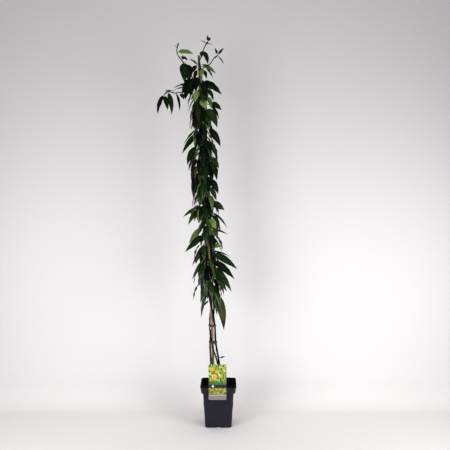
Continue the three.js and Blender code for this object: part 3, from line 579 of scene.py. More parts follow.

# Youth, copper and dried tip of each tone, each from 0 to 1. Where the tables above give a leaf the light
# or olive tone, its paler colour is painted light, for the light that falls on that leaf
TONES = {
    "dark": (0.0, 0.0, 0.0),
    "green": (0.08, 0.0, 0.0),
    "light": (0.42, 0.0, 0.0),
    "young": (0.9, 0.0, 0.0),
    "olive": (0.95, 0.28, 0.0),
    "copper": (0.1, 0.85, 0.0),
    "purple": (0.0, 0.62, 0.0),
    "ageing": (0.13, 0.0, 1.0),
}
# Of the leaves that follow the rule: the share that is young, the share that is young or light, the
# share that is olive at the very top, the height (0 to 1) where olive begins, and the most youth that
# any of the rest has
YOUNG_SHARE = 0.06
PALE_SHARE = 0.15
OLIVE_SHARE = 0.3
OLIVE_FROM = 0.75
MOST_YOUTH = 0.16


@dataclass
class Leaf:
    """One leaf: where its stalk leaves the stem, where its blade starts, and the blade's form."""
    origin: np.ndarray
    base: np.ndarray
    azimuth: float
    pitch: float
    arch: float
    length: float
    width: float
    roll: float
    tone: tuple = (0.0, 0.0, 0.0)


@dataclass
class Growth:
    """What one stem bears: its leaves, and the heights where they grow."""
    leaves: list = field(default_factory=list)
    levels: list = field(default_factory=list)


def seeded(seed):
    state = seed
    while True:
        state = (state * 16807) % 2147483647
        yield state / 2147483647


def pick(extent, value):
    return extent[0] + extent[1] * value


def smoothstep(low, high, value):
    t = min(max((value - low) / (high - low), 0), 1)
    return t * t * (3 - 2 * t)


def cane_at(z):
    rise = (z - SOIL_TOP) / (CANE_TOP - SOIL_TOP)
    bow = min(max((z - SOIL_TOP) / CANE_BOW_LENGTH, 0), 1)
    x = CANE_FOOT_X + (CANE_TOP_X - CANE_FOOT_X) * rise + CANE_BOW * math.sin(math.pi * bow)
    return np.array([x, 0.0, z])


def cane_radius(z):
    rise = (z - CANE_BOTTOM) / (CANE_TOP - CANE_BOTTOM)
    return CANE_RADIUS[0] + (CANE_RADIUS[1] - CANE_RADIUS[0]) * rise


def stem_radius(stem, z):
    rise = (z - STEM_BOTTOM) / (stem["end"] - STEM_BOTTOM)
    return stem["radius"][0] + (stem["radius"][1] - stem["radius"][0]) * rise


def stem_angle(stem, z):
    """The angle round the cane: clockwise from above as the stem climbs, as honeysuckle twines."""
    return math.radians(stem["phase"]) - 2 * math.pi * (z - TWINE_LEVEL) / TWINE_PITCH


def stem_at(stem, z):
    hug = cane_radius(z) + CANE_NODE_RISE + stem_radius(stem, z) + TWINE_CLEARANCE
    angle = stem_angle(stem, z)
    closed = smoothstep(*stem["closing"], z)
    x = stem["foot"][0] * (1 - closed) + hug * math.cos(angle) * closed
    y = stem["foot"][1] * (1 - closed) + hug * math.sin(angle) * closed
    keep = max(1, hug / math.hypot(x, y))
    return cane_at(z) + np.array([x * keep, y * keep, 0.0])


def from_tie(z):
    """How far a height is from the nearest tie."""
    return min(abs(z - level) for level, _ in TIES.values())


def in_view(point):
    column, row, depth = point
    scale = (VIEW_DISTANCE + depth) / VIEW_FOCAL_PIXELS
    x = VIEW_X + (column - VIEW_CENTRE_PIXEL) * scale
    z = VIEW_HEIGHT - (row - VIEW_CENTRE_PIXEL) * scale
    return np.array([x, depth, z])


def blade_profile(s):
    """Half the blade's width at s, from its base (0) to its tip (1), as a part of the widest."""
    return 3.2 * np.power(s, 0.6) * np.power(1 - s, 1.2)


def blade_axes(leaf, s, twist=0.0):
    """Place, side and normal of the midrib at each s: it is an arc in an upright plane."""
    s = np.atleast_1d(np.asarray(s, float))
    start = leaf.pitch + leaf.arch
    turn = -2 * leaf.arch
    slope = start + turn * s
    out = leaf.length * (np.sin(slope) - math.sin(start)) / turn
    up = leaf.length * (math.cos(start) - np.cos(slope)) / turn
    outward = level_spoke(leaf.azimuth)
    upward = np.array([0.0, 0.0, 1.0])
    place = leaf.base + np.outer(out, outward) + np.outer(up, upward)
    along = np.outer(np.cos(slope), outward) + np.outer(np.sin(slope), upward)
    level = np.array([-math.sin(leaf.azimuth), math.cos(leaf.azimuth), 0.0])
    raised = np.cross(along, level)
    roll = (leaf.roll + twist * s * s)[:, None]
    side = np.cos(roll) * level + np.sin(roll) * raised
    return place, side, np.cross(along, side)


def runs_on(leaf):
    """Whether a stalk reaches its blade from behind, without doubling back."""
    start = leaf.pitch + leaf.arch
    along = np.array([
        math.cos(start) * math.cos(leaf.azimuth),
        math.cos(start) * math.sin(leaf.azimuth),
        math.sin(start),
    ])
    stalk = leaf.base - leaf.origin
    return stalk.dot(along) / np.linalg.norm(stalk) > LEAST_RUN_ON


def spanned_leaf(origin, base, tip, width, facing, arch_degrees, turn):
    """A leaf between two points, arched, from the point that it grows on."""
    chord = tip - base
    span = np.linalg.norm(chord)
    azimuth = math.atan2(chord[1], chord[0]) + math.radians(turn[0])
    pitch = math.asin(chord[2] / span) + math.radians(turn[1])
    arch = math.radians(arch_degrees)
    roll = facing * math.atan2(math.cos(azimuth), math.sin(azimuth) * math.sin(pitch))
    return Leaf(origin, base, azimuth, pitch, arch, span * arch / math.sin(arch), width, roll)


# How far a point of a leaf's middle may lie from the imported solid's surface, in millimetres
FIT_LIMIT = 0.75


def test_points(leaf):
    """Points in the middle of a leaf's thickness: on its stalk, its midrib and its halves."""
    yield (leaf.origin + leaf.base) / 2
    stations = np.array([0.58, 0.18])
    places, sides, _ = blade_axes(leaf, stations)
    for place, side, share in zip(places, sides, blade_profile(stations)):
        for across in (0.0, 0.8, -0.8):
            yield place + side * across * share * leaf.width / 2


class Solids:
    """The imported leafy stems, asked which way each leaf was turned to keep clear of the rest."""

    def __init__(self):
        self.trees = {}
        for stem in STEMS:
            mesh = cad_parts["leafy_stem_" + stem["name"]].data
            corners = [vertex.co.copy() for vertex in mesh.vertices]
            faces = [tuple(face.vertices) for face in mesh.polygons]
            self.trees[stem["name"]] = BVHTree.FromPolygons(corners, faces)

    def holds(self, name, leaf):
        tree = self.trees[name]
        return all(
            tree.find_nearest(Vector(point) * MM, FIT_LIMIT * MM)[0] is not None
            for point in test_points(leaf)
        )

    def chosen(self, choices):
        for name, leaf in choices:
            if runs_on(leaf) and self.holds(name, leaf):
                return name, leaf
        return None, None


def plan_plant():
    """The leaves of every stem, by the rule that the solids follow, with a tone for each."""
    solids = Solids()
    growth = {stem["name"]: Growth() for stem in STEMS}
    by_name = {stem["name"]: stem for stem in STEMS}

    def keep(choices, tone):
        name, leaf = solids.chosen(choices)
        if leaf is not None:
            leaf.tone = tone
            growth[name].leaves.append(leaf)
            growth[name].levels.append(leaf.origin[2])

    for name, shoot, point, base, tip, width, facing, arch, tone in SHOOT_LEAVES:
        origin = in_view(by_name[name]["shoots"][shoot][1][point])
        keep([(name, spanned_leaf(origin, in_view(base), in_view(tip), width * PIXEL, facing, arch, turn))
              for turn in SMALL_TURNS], TONES[tone])

    for base_pixel, tip_pixel, width, facing, arch, tone in OUTLINE_LEAVES:
        base = in_view(base_pixel)
        tip = in_view(tip_pixel)
        bearers = [(np.linalg.norm(stem_at(stem, base[2]) - base), stem)
                   for stem in STEMS if base[2] < stem["end"]]
        bearers.sort(key=lambda bearer: bearer[0])
        choices = []
        for turn in SMALL_TURNS:
            for gap, stem in bearers:
                for lift in ATTACH_LIFTS:
                    origin = stem_at(stem, min(base[2] + min(lift * gap, MOST_LIFT), stem["end"]))
                    leaf = spanned_leaf(origin, base, tip, width * PIXEL, facing, arch, turn)
                    choices.append((stem["name"], leaf))
        keep(choices, TONES[tone])

    draw = seeded(LEAF_SEED)
    mood = random.Random(LEAF_SEED)

    def chance_tone(height):
        roll = mood.random()
        if roll < YOUNG_SHARE:
            return TONES["young"]
        if roll < PALE_SHARE:
            return TONES["light"]
        if roll < PALE_SHARE + OLIVE_SHARE * max(height - OLIVE_FROM, 0) / (1 - OLIVE_FROM):
            return TONES["olive"]
        return (MOST_YOUTH * mood.random() ** 2, 0.0, 0.0)

    def grow_pair(stem, origin, reach, facing, steeper):
        for side in (1, -1):
            azimuth = facing + side * math.radians(pick(SPREAD_DEGREES, next(draw)))
            pitch = math.radians(pick(PITCH_DEGREES, next(draw)) - steeper)
            arch = math.radians(pick(ARCH_DEGREES, next(draw)))
            height = (origin[2] - SOIL_TOP) / (CANE_TOP - SOIL_TOP)
            length = pick(LEAF_LENGTH, next(draw)) * (1 - LEAF_TAPER_WITH_HEIGHT * height)
            width = length * pick(LEAF_SLENDERNESS, next(draw))
            roll = math.radians(ROLL_DEGREES * (next(draw) - 0.5))
            choices = []
            for turn in TURNS:
                turned = azimuth + math.radians(turn[0])
                sunk = pitch + math.radians(turn[1])
                out = reach + PETIOLE_LENGTH * math.cos(sunk + arch)
                middle = (turned + facing) / 2
                base = origin + np.array([
                    out * math.cos(middle), out * math.sin(middle), PETIOLE_LENGTH * math.sin(sunk + arch),
                ])
                choices.append((stem["name"], Leaf(origin, base, turned, sunk, arch, length, width, roll)))
            keep(choices, chance_tone(height))

    for stem in STEMS:
        level = stem["leaves"][0]
        while level < stem["leaves"][1]:
            facing = stem_angle(stem, level)
            shoot_turn = math.radians(SHOOT_SPREAD_DEGREES * (next(draw) - 0.5))
            reach = pick(SHOOT_REACH, next(draw))
            grow_pair(stem, stem_at(stem, level), 0, facing, 0)
            above = stem_at(stem, level + SHOOT_ABOVE)
            grow_pair(stem, above, reach, facing + shoot_turn, SHOOT_STEEPER_DEGREES)
            level += pick(INTERNODE, next(draw))
    return growth


# Materials

def node(tree, kind, inputs=None, stops=None, **settings):
    """Adds a shader node with its settings. An input is a value or another node's output."""
    made = tree.nodes.new(kind)
    for key, value in settings.items():
        setattr(made, key, value)
    for socket, value in (inputs or {}).items():
        if isinstance(value, bpy.types.NodeSocket):
            tree.links.new(value, made.inputs[socket])
        else:
            made.inputs[socket].default_value = value
    if stops:
        ramp = made.color_ramp
        while len(ramp.elements) < len(stops):
            ramp.elements.new(1.0)
        for element, (position, value) in zip(ramp.elements, stops):
            element.position = position
            element.color = value
    return made


def new_material(name):
    """A material with an empty tree of nodes."""
    material = bpy.data.materials.new(name)
    material.use_nodes = True
    tree = material.node_tree
    tree.nodes.clear()
    return material, tree


def surface(tree, colour_from, roughness, height=None, relief=0.0, **plain):
    """The shader of a material: its colour and roughness, its relief in metres, and plain values."""
    inputs = {"Base Color": colour_from, "Roughness": roughness}
    if height is not None:
        bump = node(tree, "ShaderNodeBump", {"Height": height, "Distance": relief, "Strength": 1.0})
        inputs["Normal"] = bump.outputs[0]
    inputs.update(plain)
    shader = node(tree, "ShaderNodeBsdfPrincipled", inputs)
    node(tree, "ShaderNodeOutputMaterial", {"Surface": shader.outputs[0]})


def maths(tree, operation, *values, **settings):
    return node(tree, "ShaderNodeMath", dict(enumerate(values)), operation=operation, **settings).outputs[0]


def mixed(tree, factor, first, second, blend="MIX"):
    """Two colours mixed by a factor."""
    made = node(tree, "ShaderNodeMix", {0: factor, 6: first, 7: second}, data_type="RGBA", blend_type=blend)
    return made.outputs[2]


def ramped(tree, value, low, high, from_value=0.0, to_value=1.0):
    """A number carried smoothly from one range to another."""
    made = node(tree, "ShaderNodeMapRange", {0: value, 1: low, 2: high, 3: from_value, 4: to_value},
                interpolation_type="SMOOTHSTEP")
    return made.outputs[0]


def own_place(tree):
    """Each point's place in the piece's own coordinates, in metres."""
    return node(tree, "ShaderNodeTexCoord").outputs["Object"]


def own_uv(tree):
    """Each point's place on the piece's own UV map."""
    return node(tree, "ShaderNodeUVMap", uv_map="UVMap").outputs[0]


def split_axes(tree, vector):
    """The x, y and z of a vector."""
    return node(tree, "ShaderNodeSeparateXYZ", {0: vector}).outputs


def object_noise(tree, size_mm, detail=3.0, stretch=(1.0, 1.0, 1.0)):
    """Noise on the piece's own coordinates, with spots of about the given size."""
    mapping = node(tree, "ShaderNodeMapping", {"Vector": own_place(tree), "Scale": stretch})
    return node(tree, "ShaderNodeTexNoise", {
        "Vector": mapping.outputs[0], "Scale": 1 / (size_mm * MM), "Detail": detail, "Roughness": 0.55,
    }).outputs[0]


def height_in(tree):
    """How high each point is above the ground, in metres."""
    return split_axes(tree, own_place(tree))[2]


def along_noise(tree, along, around, detail=3.0):
    """Noise on a tube's own UV: so many spots along it and round it."""
    mapping = node(tree, "ShaderNodeMapping", {"Vector": own_uv(tree), "Scale": (along, around, 1.0)})
    return node(tree, "ShaderNodeTexNoise", {
        "Vector": mapping.outputs[0], "Scale": 1.0, "Detail": detail, "Roughness": 0.6,
    }).outputs[0]


def leaf_veins(tree):
    """Where a leaf's midrib and side veins run (0 to 1), and the place along it."""
    split = split_axes(tree, own_uv(tree))
    along = split[0]
    across = maths(tree, "ABSOLUTE", maths(tree, "MULTIPLY_ADD", split[1], 2.0, -1.0))
    midrib = ramped(tree, across, 0.02, 0.09, 1.0, 0.0)
    # A side vein leaves the midrib and reaches the margin a seventh of the blade further on
    lag = maths(tree, "MULTIPLY", maths(tree, "POWER", across, 0.8), 0.15)
    rank = maths(tree, "MULTIPLY", maths(tree, "SUBTRACT", along, lag), 10.0)
    lateral = ramped(tree, maths(tree, "PINGPONG", rank, 0.5), 0.03, 0.13, 1.0, 0.0)
    faded = maths(tree, "MULTIPLY", lateral, ramped(tree, across, 0.45, 1.0, 0.55, 0.0))
    return maths(tree, "MAXIMUM", midrib, faded), along


def leaf_tone(tree):
    """The tone that a leaf's vertices hold: its youth, chance, copper and dried tip."""
    tone = node(tree, "ShaderNodeAttribute", attribute_name="tone")
    split = node(tree, "ShaderNodeSeparateColor", {0: tone.outputs["Color"]})
    return split.outputs[0], split.outputs[1], split.outputs[2], tone.outputs["Alpha"]


def leaf_colour(tree, settings, deep, fresh):
    """A leaf's own green, by its tone, and how far its tip has dried."""
    youth, chance, copper, dry = leaf_tone(tree)
    cloud = object_noise(tree, 14)
    shade = maths(tree, "MULTIPLY_ADD", chance, 0.6, maths(tree, "MULTIPLY", cloud, 0.4))
    old = mixed(tree, ramped(tree, shade, 0.3, 0.9), deep, fresh)
    green = mixed(tree, youth, old, settings.young)
    return mixed(tree, copper, green, settings.copper), dry


def upper_leaf_material(settings):
    """Evergreen honeysuckle leaf, upper face: a waxy cuticle, deep green, with sunken paler veins."""
    material, tree = new_material("evergreen leaf, waxy upper face")
    veins, along = leaf_veins(tree)
    green, dry = leaf_colour(tree, settings, settings.deep, settings.fresh)
    veined = mixed(tree, maths(tree, "MULTIPLY", veins, 0.2), green, settings.vein)
    # An ageing leaf turns olive from its middle on, then brown, with a ragged edge to each
    ragged = maths(tree, "MULTIPLY_ADD", object_noise(tree, 5), 0.3, along)
    olive = maths(tree, "MULTIPLY", dry, ramped(tree, ragged, 0.45, 0.8))
    brown = maths(tree, "MULTIPLY", dry, ramped(tree, ragged, 0.72, 0.98))
    browned = mixed(tree, brown, mixed(tree, olive, veined, linear("#46501a")), settings.dead)
    quilt = maths(tree, "SUBTRACT", maths(tree, "MULTIPLY", object_noise(tree, 2.5), 0.5), veins)
    gloss = ramped(tree, object_noise(tree, 9), 0.3, 0.7, 0.2, 0.34)
    surface(tree, browned, gloss, quilt, 0.35 * MM, **{"Specular IOR Level": 0.4})
    return material


def under_leaf_material(settings):
    """Evergreen honeysuckle leaf, underside: no wax, paler and matt, with veins that stand proud."""
    material, tree = new_material("evergreen leaf, matt underside")
    veins = leaf_veins(tree)[0]
    green = leaf_colour(tree, settings, settings.under, settings.under)[0]
    pale = mixed(tree, 0.55, green, settings.under)
    veined = mixed(tree, maths(tree, "MULTIPLY", veins, 0.35), pale, settings.vein)
    surface(tree, veined, 0.68, veins, 0.3 * MM, **{"Specular IOR Level": 0.35})
    return material


def stalk_material(settings):
    """Leaf stalk and midrib: soft young tissue, green flushed with red in patches."""
    material, tree = new_material("leaf stalk, green flushed red")
    youth = leaf_tone(tree)[0]
    flush = ramped(tree, object_noise(tree, 12), 0.35, 0.65)
    old = mixed(tree, flush, settings.twig, settings.under)
    surface(tree, mixed(tree, youth, old, settings.vein), 0.5)
    return material


def bark_material(settings):
    """Woody honeysuckle stem: brown bark that splits and peels in long strips."""
    material, tree = new_material("honeysuckle bark, peeling in strips")
    # Strips about 30 mm long and a quarter of the way round
    strips = along_noise(tree, 46, 5, 4.0)
    fine = along_noise(tree, 160, 14, 3.0)
    # The stem is redder and smoother towards its young top
    rise = height_in(tree)
    youth = ramped(tree, rise, 0.35, 1.35)
    old = node(tree, "ShaderNodeValToRGB", {0: strips}, stops=(
        (0.34, linear("#0b0605")), (0.52, settings.bark),
        (0.64, linear("#402a20")), (0.74, linear("#7a5e4d")),
    )).outputs[0]
    grown = mixed(tree, maths(tree, "MULTIPLY", youth, 0.7), old, settings.twig)
    surface(tree, grown, ramped(tree, fine, 0.3, 0.7, 0.55, 0.8),
            maths(tree, "MULTIPLY_ADD", strips, 1.0, maths(tree, "MULTIPLY", fine, 0.4)), 0.5 * MM,
            **{"Specular IOR Level": 0.12})
    return material


def bamboo_material(settings):
    """Dried bamboo: a waxy rind with fine long fibres, water stains, and dark scars at the rings."""
    material, tree = new_material("dried bamboo, waxy rind")
    # Fibres run the length of a joint, a millimetre or so apart
    fibres = along_noise(tree, 14, 26, 2.0)
    stains = object_noise(tree, 22, 4.0, (1.0, 1.0, 0.35))
    specks = object_noise(tree, 1.6, 2.0)
    ring = node(tree, "ShaderNodeAttribute", attribute_name="ring").outputs["Fac"]
    rind = mixed(tree, ramped(tree, fibres, 0.3, 0.7), settings.tan, settings.pale)
    stained = mixed(tree, ramped(tree, stains, 0.52, 0.75, 0.0, 0.75), rind, linear("#5c452e"))
    speckled = mixed(tree, ramped(tree, specks, 0.68, 0.74, 0.0, 0.6), stained, linear("#2c1f14"))
    # Damp has stained the cane brown over its lowest 200 mm
    rise = height_in(tree)
    wet = ramped(tree, rise, 0.14, 0.36, 0.8, 0.1)
    damp = maths(tree, "MULTIPLY", wet, ramped(tree, stains, 0.25, 0.55))
    soaked = mixed(tree, damp, speckled, linear("#3f271d"))
    # Its thin top is still tinged with the green of the living stalk
    soaked = mixed(tree, ramped(tree, rise, 0.9, 1.4, 0.0, 0.65), soaked, linear("#5c5837"))
    scarred = mixed(tree, ramped(tree, ring, 0.55, 0.95), soaked, settings.scar)
    gloss = ramped(tree, fibres, 0.2, 0.8, 0.38, 0.52)
    surface(tree, scarred, gloss, fibres, 0.15 * MM, **{"Specular IOR Level": 0.45})
    return material


def pot_material(settings):
    """Moulded recycled polypropylene: near black with a violet cast, dull, scuffed in patches."""
    material, tree = new_material("recycled polypropylene, moulded")
    smudges = object_noise(tree, 38, 4.0)
    grain = object_noise(tree, 0.9, 2.0)
    scuffs = object_noise(tree, 7, 5.0, (1.0, 1.0, 0.25))
    rise = height_in(tree)
    low = ramped(tree, rise, 0.0, 0.03, 0.12, 0.0)
    splash = maths(tree, "MULTIPLY", low, ramped(tree, scuffs, 0.4, 0.6))
    scuffed = ramped(tree, scuffs, 0.58, 0.78, 0.0, 0.45)
    worn = mixed(tree, scuffed, settings.plastic, settings.worn)
    shaded = mixed(tree, ramped(tree, smudges, 0.35, 0.7, 0.0, 0.3), worn, settings.worn)
    dusty = mixed(tree, splash, shaded, linear("#5b4f45"))
    surface(tree, dusty, ramped(tree, smudges, 0.3, 0.7, 0.42, 0.56), grain, 0.06 * MM)
    return material


def inside_shade_material(settings):
    """The same plastic inside the pot, painted nearly black as painted shade for the dark inside of the
    pot, with faint blotches.
    """
    material, tree = new_material("polypropylene inside, painted shade")
    stains = object_noise(tree, 12, 4.0)
    # The near black of the inside is painted shade; the blotches lighten it a little
    base = mixed(tree, ramped(tree, stains, 0.45, 0.75), settings.damp, linear("#17130f"))
    surface(tree, base, 0.75, stains, 0.1 * MM, **{"Specular IOR Level": 0.2})
    return material


def soil_material(settings):
    """Peat-free compost: damp dark crumbs with drier, browner tops and fibres."""
    material, tree = new_material("peat-free compost")
    clumps = object_noise(tree, 6, 5.0)
    grit = object_noise(tree, 1.2, 3.0)
    base = mixed(tree, ramped(tree, clumps, 0.4, 0.72), settings.damp, settings.dry)
    surface(tree, base, 0.95, maths(tree, "MULTIPLY_ADD", grit, 0.4, clumps), 1.2 * MM)
    return material


def chip_material():
    """Composted bark chips and wood fibre: paler, matt, with a straight grain."""
    material, tree = new_material("composted bark chip")
    grain = object_noise(tree, 1.4, 3.0, (1.0, 0.3, 1.0))
    base = mixed(tree, grain, linear("#2a1a10"), linear("#6a4d33"))
    surface(tree, base, 0.9, grain, 0.3 * MM)
    return material


def cord_material(settings):
    """Twisted jute: two strands, so slanting grooves run round it, painted darker as painted shade, with
    loose fibre.
    """
    material, tree = new_material("twisted jute cord")
    split = split_axes(tree, own_uv(tree))
    round_it = maths(tree, "MULTIPLY", split[1], STRANDS_ROUND)
    lay = maths(tree, "MULTIPLY_ADD", split[0], STRANDS_ALONG, round_it)
    strand = maths(tree, "PINGPONG", lay, 0.5)
    fibre = object_noise(tree, 0.8, 2.0)
    # The grooves between the strands are painted darker: painted shade where the strands meet
    base = mixed(tree, ramped(tree, strand, 0.02, 0.2), linear("#2c261d"), settings.jute)
    fuzzy = mixed(tree, ramped(tree, fibre, 0.5, 0.75, 0.0, 0.5), base, linear("#9a8f78"))
    surface(tree, fuzzy, 0.85, strand, 0.5 * MM, **{"Sheen Weight": 0.2})
    return material


# The label's card and the tongue behind it, in millimetres
LABEL_WIDTH = 71
LABEL_FOOT = 119
LABEL_HEIGHT = 142
LABEL_X = -3
LABEL_CORNER = 5
TONGUE_WIDTH = 22
TONGUE_DEPTH = 18
# How far the tongue's foot leans in from its top, as the collar's inside does
COLLAR_SLOPE = (RIM_HALF - COLLAR_FOOT_HALF) / (POT_HEIGHT - COLLAR_FOOT)
TONGUE_LEAN = TONGUE_DEPTH * COLLAR_SLOPE
# Blossoms of the printed picture: centre on the card from 0 to 1, radius in card widths, and turn
PRINT_BLOSSOMS = (
    (0.2, 0.86, 0.12, 10), (0.47, 0.79, 0.1, 50), (0.33, 0.66, 0.13, 30), (0.72, 0.67, 0.09, 5),
    (0.86, 0.85, 0.07, 40), (0.62, 0.93, 0.06, 20), (0.1, 0.55, 0.06, 60),
)
# Levels on the card, from its foot (0) to its top (1): the top of the plain strip, of the mottled
# panel and of the dark band
STRIP_TOP = 0.13
PANEL_TOP = 0.34
BAND_TOP = 0.425
# The pale rule above the strip, and how soft the print's edges are
RULE_HEIGHT = 0.01
PRINT_EDGE = 0.002
# The pale spot on the dark band: its place across the card, and its radius in card widths
SPOT_X = 0.24
SPOT_RADIUS = 0.062


def printed_leaves(tree, degrees, length_mm, width_mm):
    """A number of its own for each printed leaf, and how far a point is from the leaf's middle."""
    turned = node(tree, "ShaderNodeMapping", {
        "Vector": own_place(tree), "Rotation": (0.0, math.radians(degrees), 0.0),
        "Scale": (length_mm * MM, 1.0, width_mm * MM),
    }, vector_type="TEXTURE")
    cells = node(tree, "ShaderNodeTexVoronoi", {"Vector": turned.outputs[0], "Scale": 1.0})
    chance = node(tree, "ShaderNodeSeparateColor", {0: cells.outputs["Color"]})
    return chance.outputs[0], cells.outputs["Distance"]


def leafy_print(tree, layers, tints):
    """Layers of soft printed leaves, each showing through the one before it in patches."""
    picture = None
    for degrees, length_mm, width_mm in layers:
        chance, far = printed_leaves(tree, degrees, length_mm, width_mm)
        tint = node(tree, "ShaderNodeValToRGB", {0: chance}, stops=tints).outputs[0]
        shaded = mixed(tree, ramped(tree, far, 0.25, 0.95, 0.0, 0.75), tint, tints[0][1])
        patch = ramped(tree, object_noise(tree, length_mm * 1.1, 1.0), 0.42, 0.56)
        picture = shaded if picture is None else mixed(tree, patch, picture, shaded)
    return picture


def print_material(settings):
    """Printed plastic card: a soft picture of leaves with warm blossoms, a dark band and plain panels."""
    material, tree = new_material("printed plastic card")
    size = (1 / (LABEL_WIDTH * MM), 1.0, 1 / (LABEL_HEIGHT * MM))
    corner = (0.5 - LABEL_X / LABEL_WIDTH, 0.0, -LABEL_FOOT / LABEL_HEIGHT)
    card = node(tree, "ShaderNodeMapping", {
        "Vector": own_place(tree), "Scale": size, "Location": corner,
    })
    split = split_axes(tree, card.outputs[0])
    x, z = split[0], split[2]

    def from_centre(centre_x, centre_z, radius, petals, degrees):
        """How far a point is from a centre, in radii, with the distance drawn in between petals."""
        across = maths(tree, "SUBTRACT", x, centre_x)
        up = maths(tree, "MULTIPLY", maths(tree, "SUBTRACT", z, centre_z), LABEL_HEIGHT / LABEL_WIDTH)
        square = maths(tree, "MULTIPLY_ADD", across, across, maths(tree, "MULTIPLY", up, up))
        far = maths(tree, "DIVIDE", maths(tree, "SQRT", square), radius)
        if not petals:
            return far
        turn = maths(tree, "ARCTAN2", up, across)
        angle = maths(tree, "MULTIPLY_ADD", turn, petals, math.radians(degrees))
        drawn = maths(tree, "MULTIPLY_ADD", maths(tree, "COSINE", angle), -0.22, 1.05)
        return maths(tree, "MULTIPLY", far, drawn)

    picture = leafy_print(tree, ((35, 15, 5), (-50, 17, 6), (80, 12, 4.5)), (
        (0.0, settings.leaf_deep), (0.25, linear("#4f8529")), (0.5, linear("#98bb42")),
        (0.8, settings.leaf_light), (1.0, linear("#e6e3a0")),
    ))
    # The picture falls into shade above the band
    picture = mixed(tree, ramped(tree, z, BAND_TOP, 0.62, 0.8, 0.0), picture, linear("#1f5c36"))
    for centre_x, centre_z, radius, degrees in PRINT_BLOSSOMS:
        far = from_centre(centre_x, centre_z, radius, 5, degrees)
        petal = mixed(tree, ramped(tree, far, 0.0, 0.7), settings.glow, settings.flower)
        picture = mixed(tree, ramped(tree, far, 0.75, 1.2, 1.0, 0.0), picture, petal)
    panel = leafy_print(tree, ((20, 7, 3), (-60, 8, 3.5)), (
        (0.0, linear("#39401c")), (0.35, linear("#7f842f")),
        (0.7, linear("#b4ad48")), (1.0, linear("#dcd37c")),
    ))
    strip = mixed(tree, object_noise(tree, 5, 2.0), linear("#77726e"), settings.pale)
    # A thin pale rule parts the strip from the panel
    lower = mixed(tree, ramped(tree, z, STRIP_TOP - PRINT_EDGE, STRIP_TOP), strip, linear("#d8d5cc"))
    rule_top = STRIP_TOP + RULE_HEIGHT
    lower = mixed(tree, ramped(tree, z, rule_top - PRINT_EDGE, rule_top), lower, panel)
    lower = mixed(tree, ramped(tree, z, PANEL_TOP - PRINT_EDGE, PANEL_TOP), lower, settings.band)
    whole = mixed(tree, ramped(tree, z, BAND_TOP - PRINT_EDGE, BAND_TOP), lower, picture)
    spot = from_centre(SPOT_X, (PANEL_TOP + BAND_TOP) / 2, SPOT_RADIUS, 0, 0)
    whole = mixed(tree, ramped(tree, spot, 0.95, 1.05, 1.0, 0.0), whole, linear("#efede4"))
    surface(tree, whole, 0.3, **{"Coat Weight": 0.25, "Coat Roughness": 0.15})
    return material


def card_material(settings):
    """Unprinted polystyrene card: off-white, smooth and slightly milky."""
    material, tree = new_material("white polystyrene card")
    haze = object_noise(tree, 16, 2.0)
    base = mixed(tree, haze, settings.back, linear("#dcd9d0"))
    surface(tree, base, 0.35)
    return material


def stage_material(settings):
    """Painted board: an even pale paint, warmer on the floor, and clear from behind to show the plant."""
    material, tree = new_material("painted board")
    rise = height_in(tree)
    tint = mixed(tree, ramped(tree, rise, 0.0, 0.1), settings.floor, settings.wall)
    cloud = object_noise(tree, 600, 2.0)
    shaded = mixed(tree, maths(tree, "MULTIPLY", cloud, 0.04), tint, linear("#b4b0b0"))
    paint = node(tree, "ShaderNodeBsdfPrincipled", {
        "Base Color": shaded, "Roughness": 0.8, "Specular IOR Level": 0.2,
    })
    clear = node(tree, "ShaderNodeBsdfTransparent")
    back = node(tree, "ShaderNodeNewGeometry").outputs["Backfacing"]
    sides = node(tree, "ShaderNodeMixShader", {0: back, 1: paint.outputs[0], 2: clear.outputs[0]})
    node(tree, "ShaderNodeOutputMaterial", {"Surface": sides.outputs[0]})
    return material


# Operators, one for each piece or group of like pieces

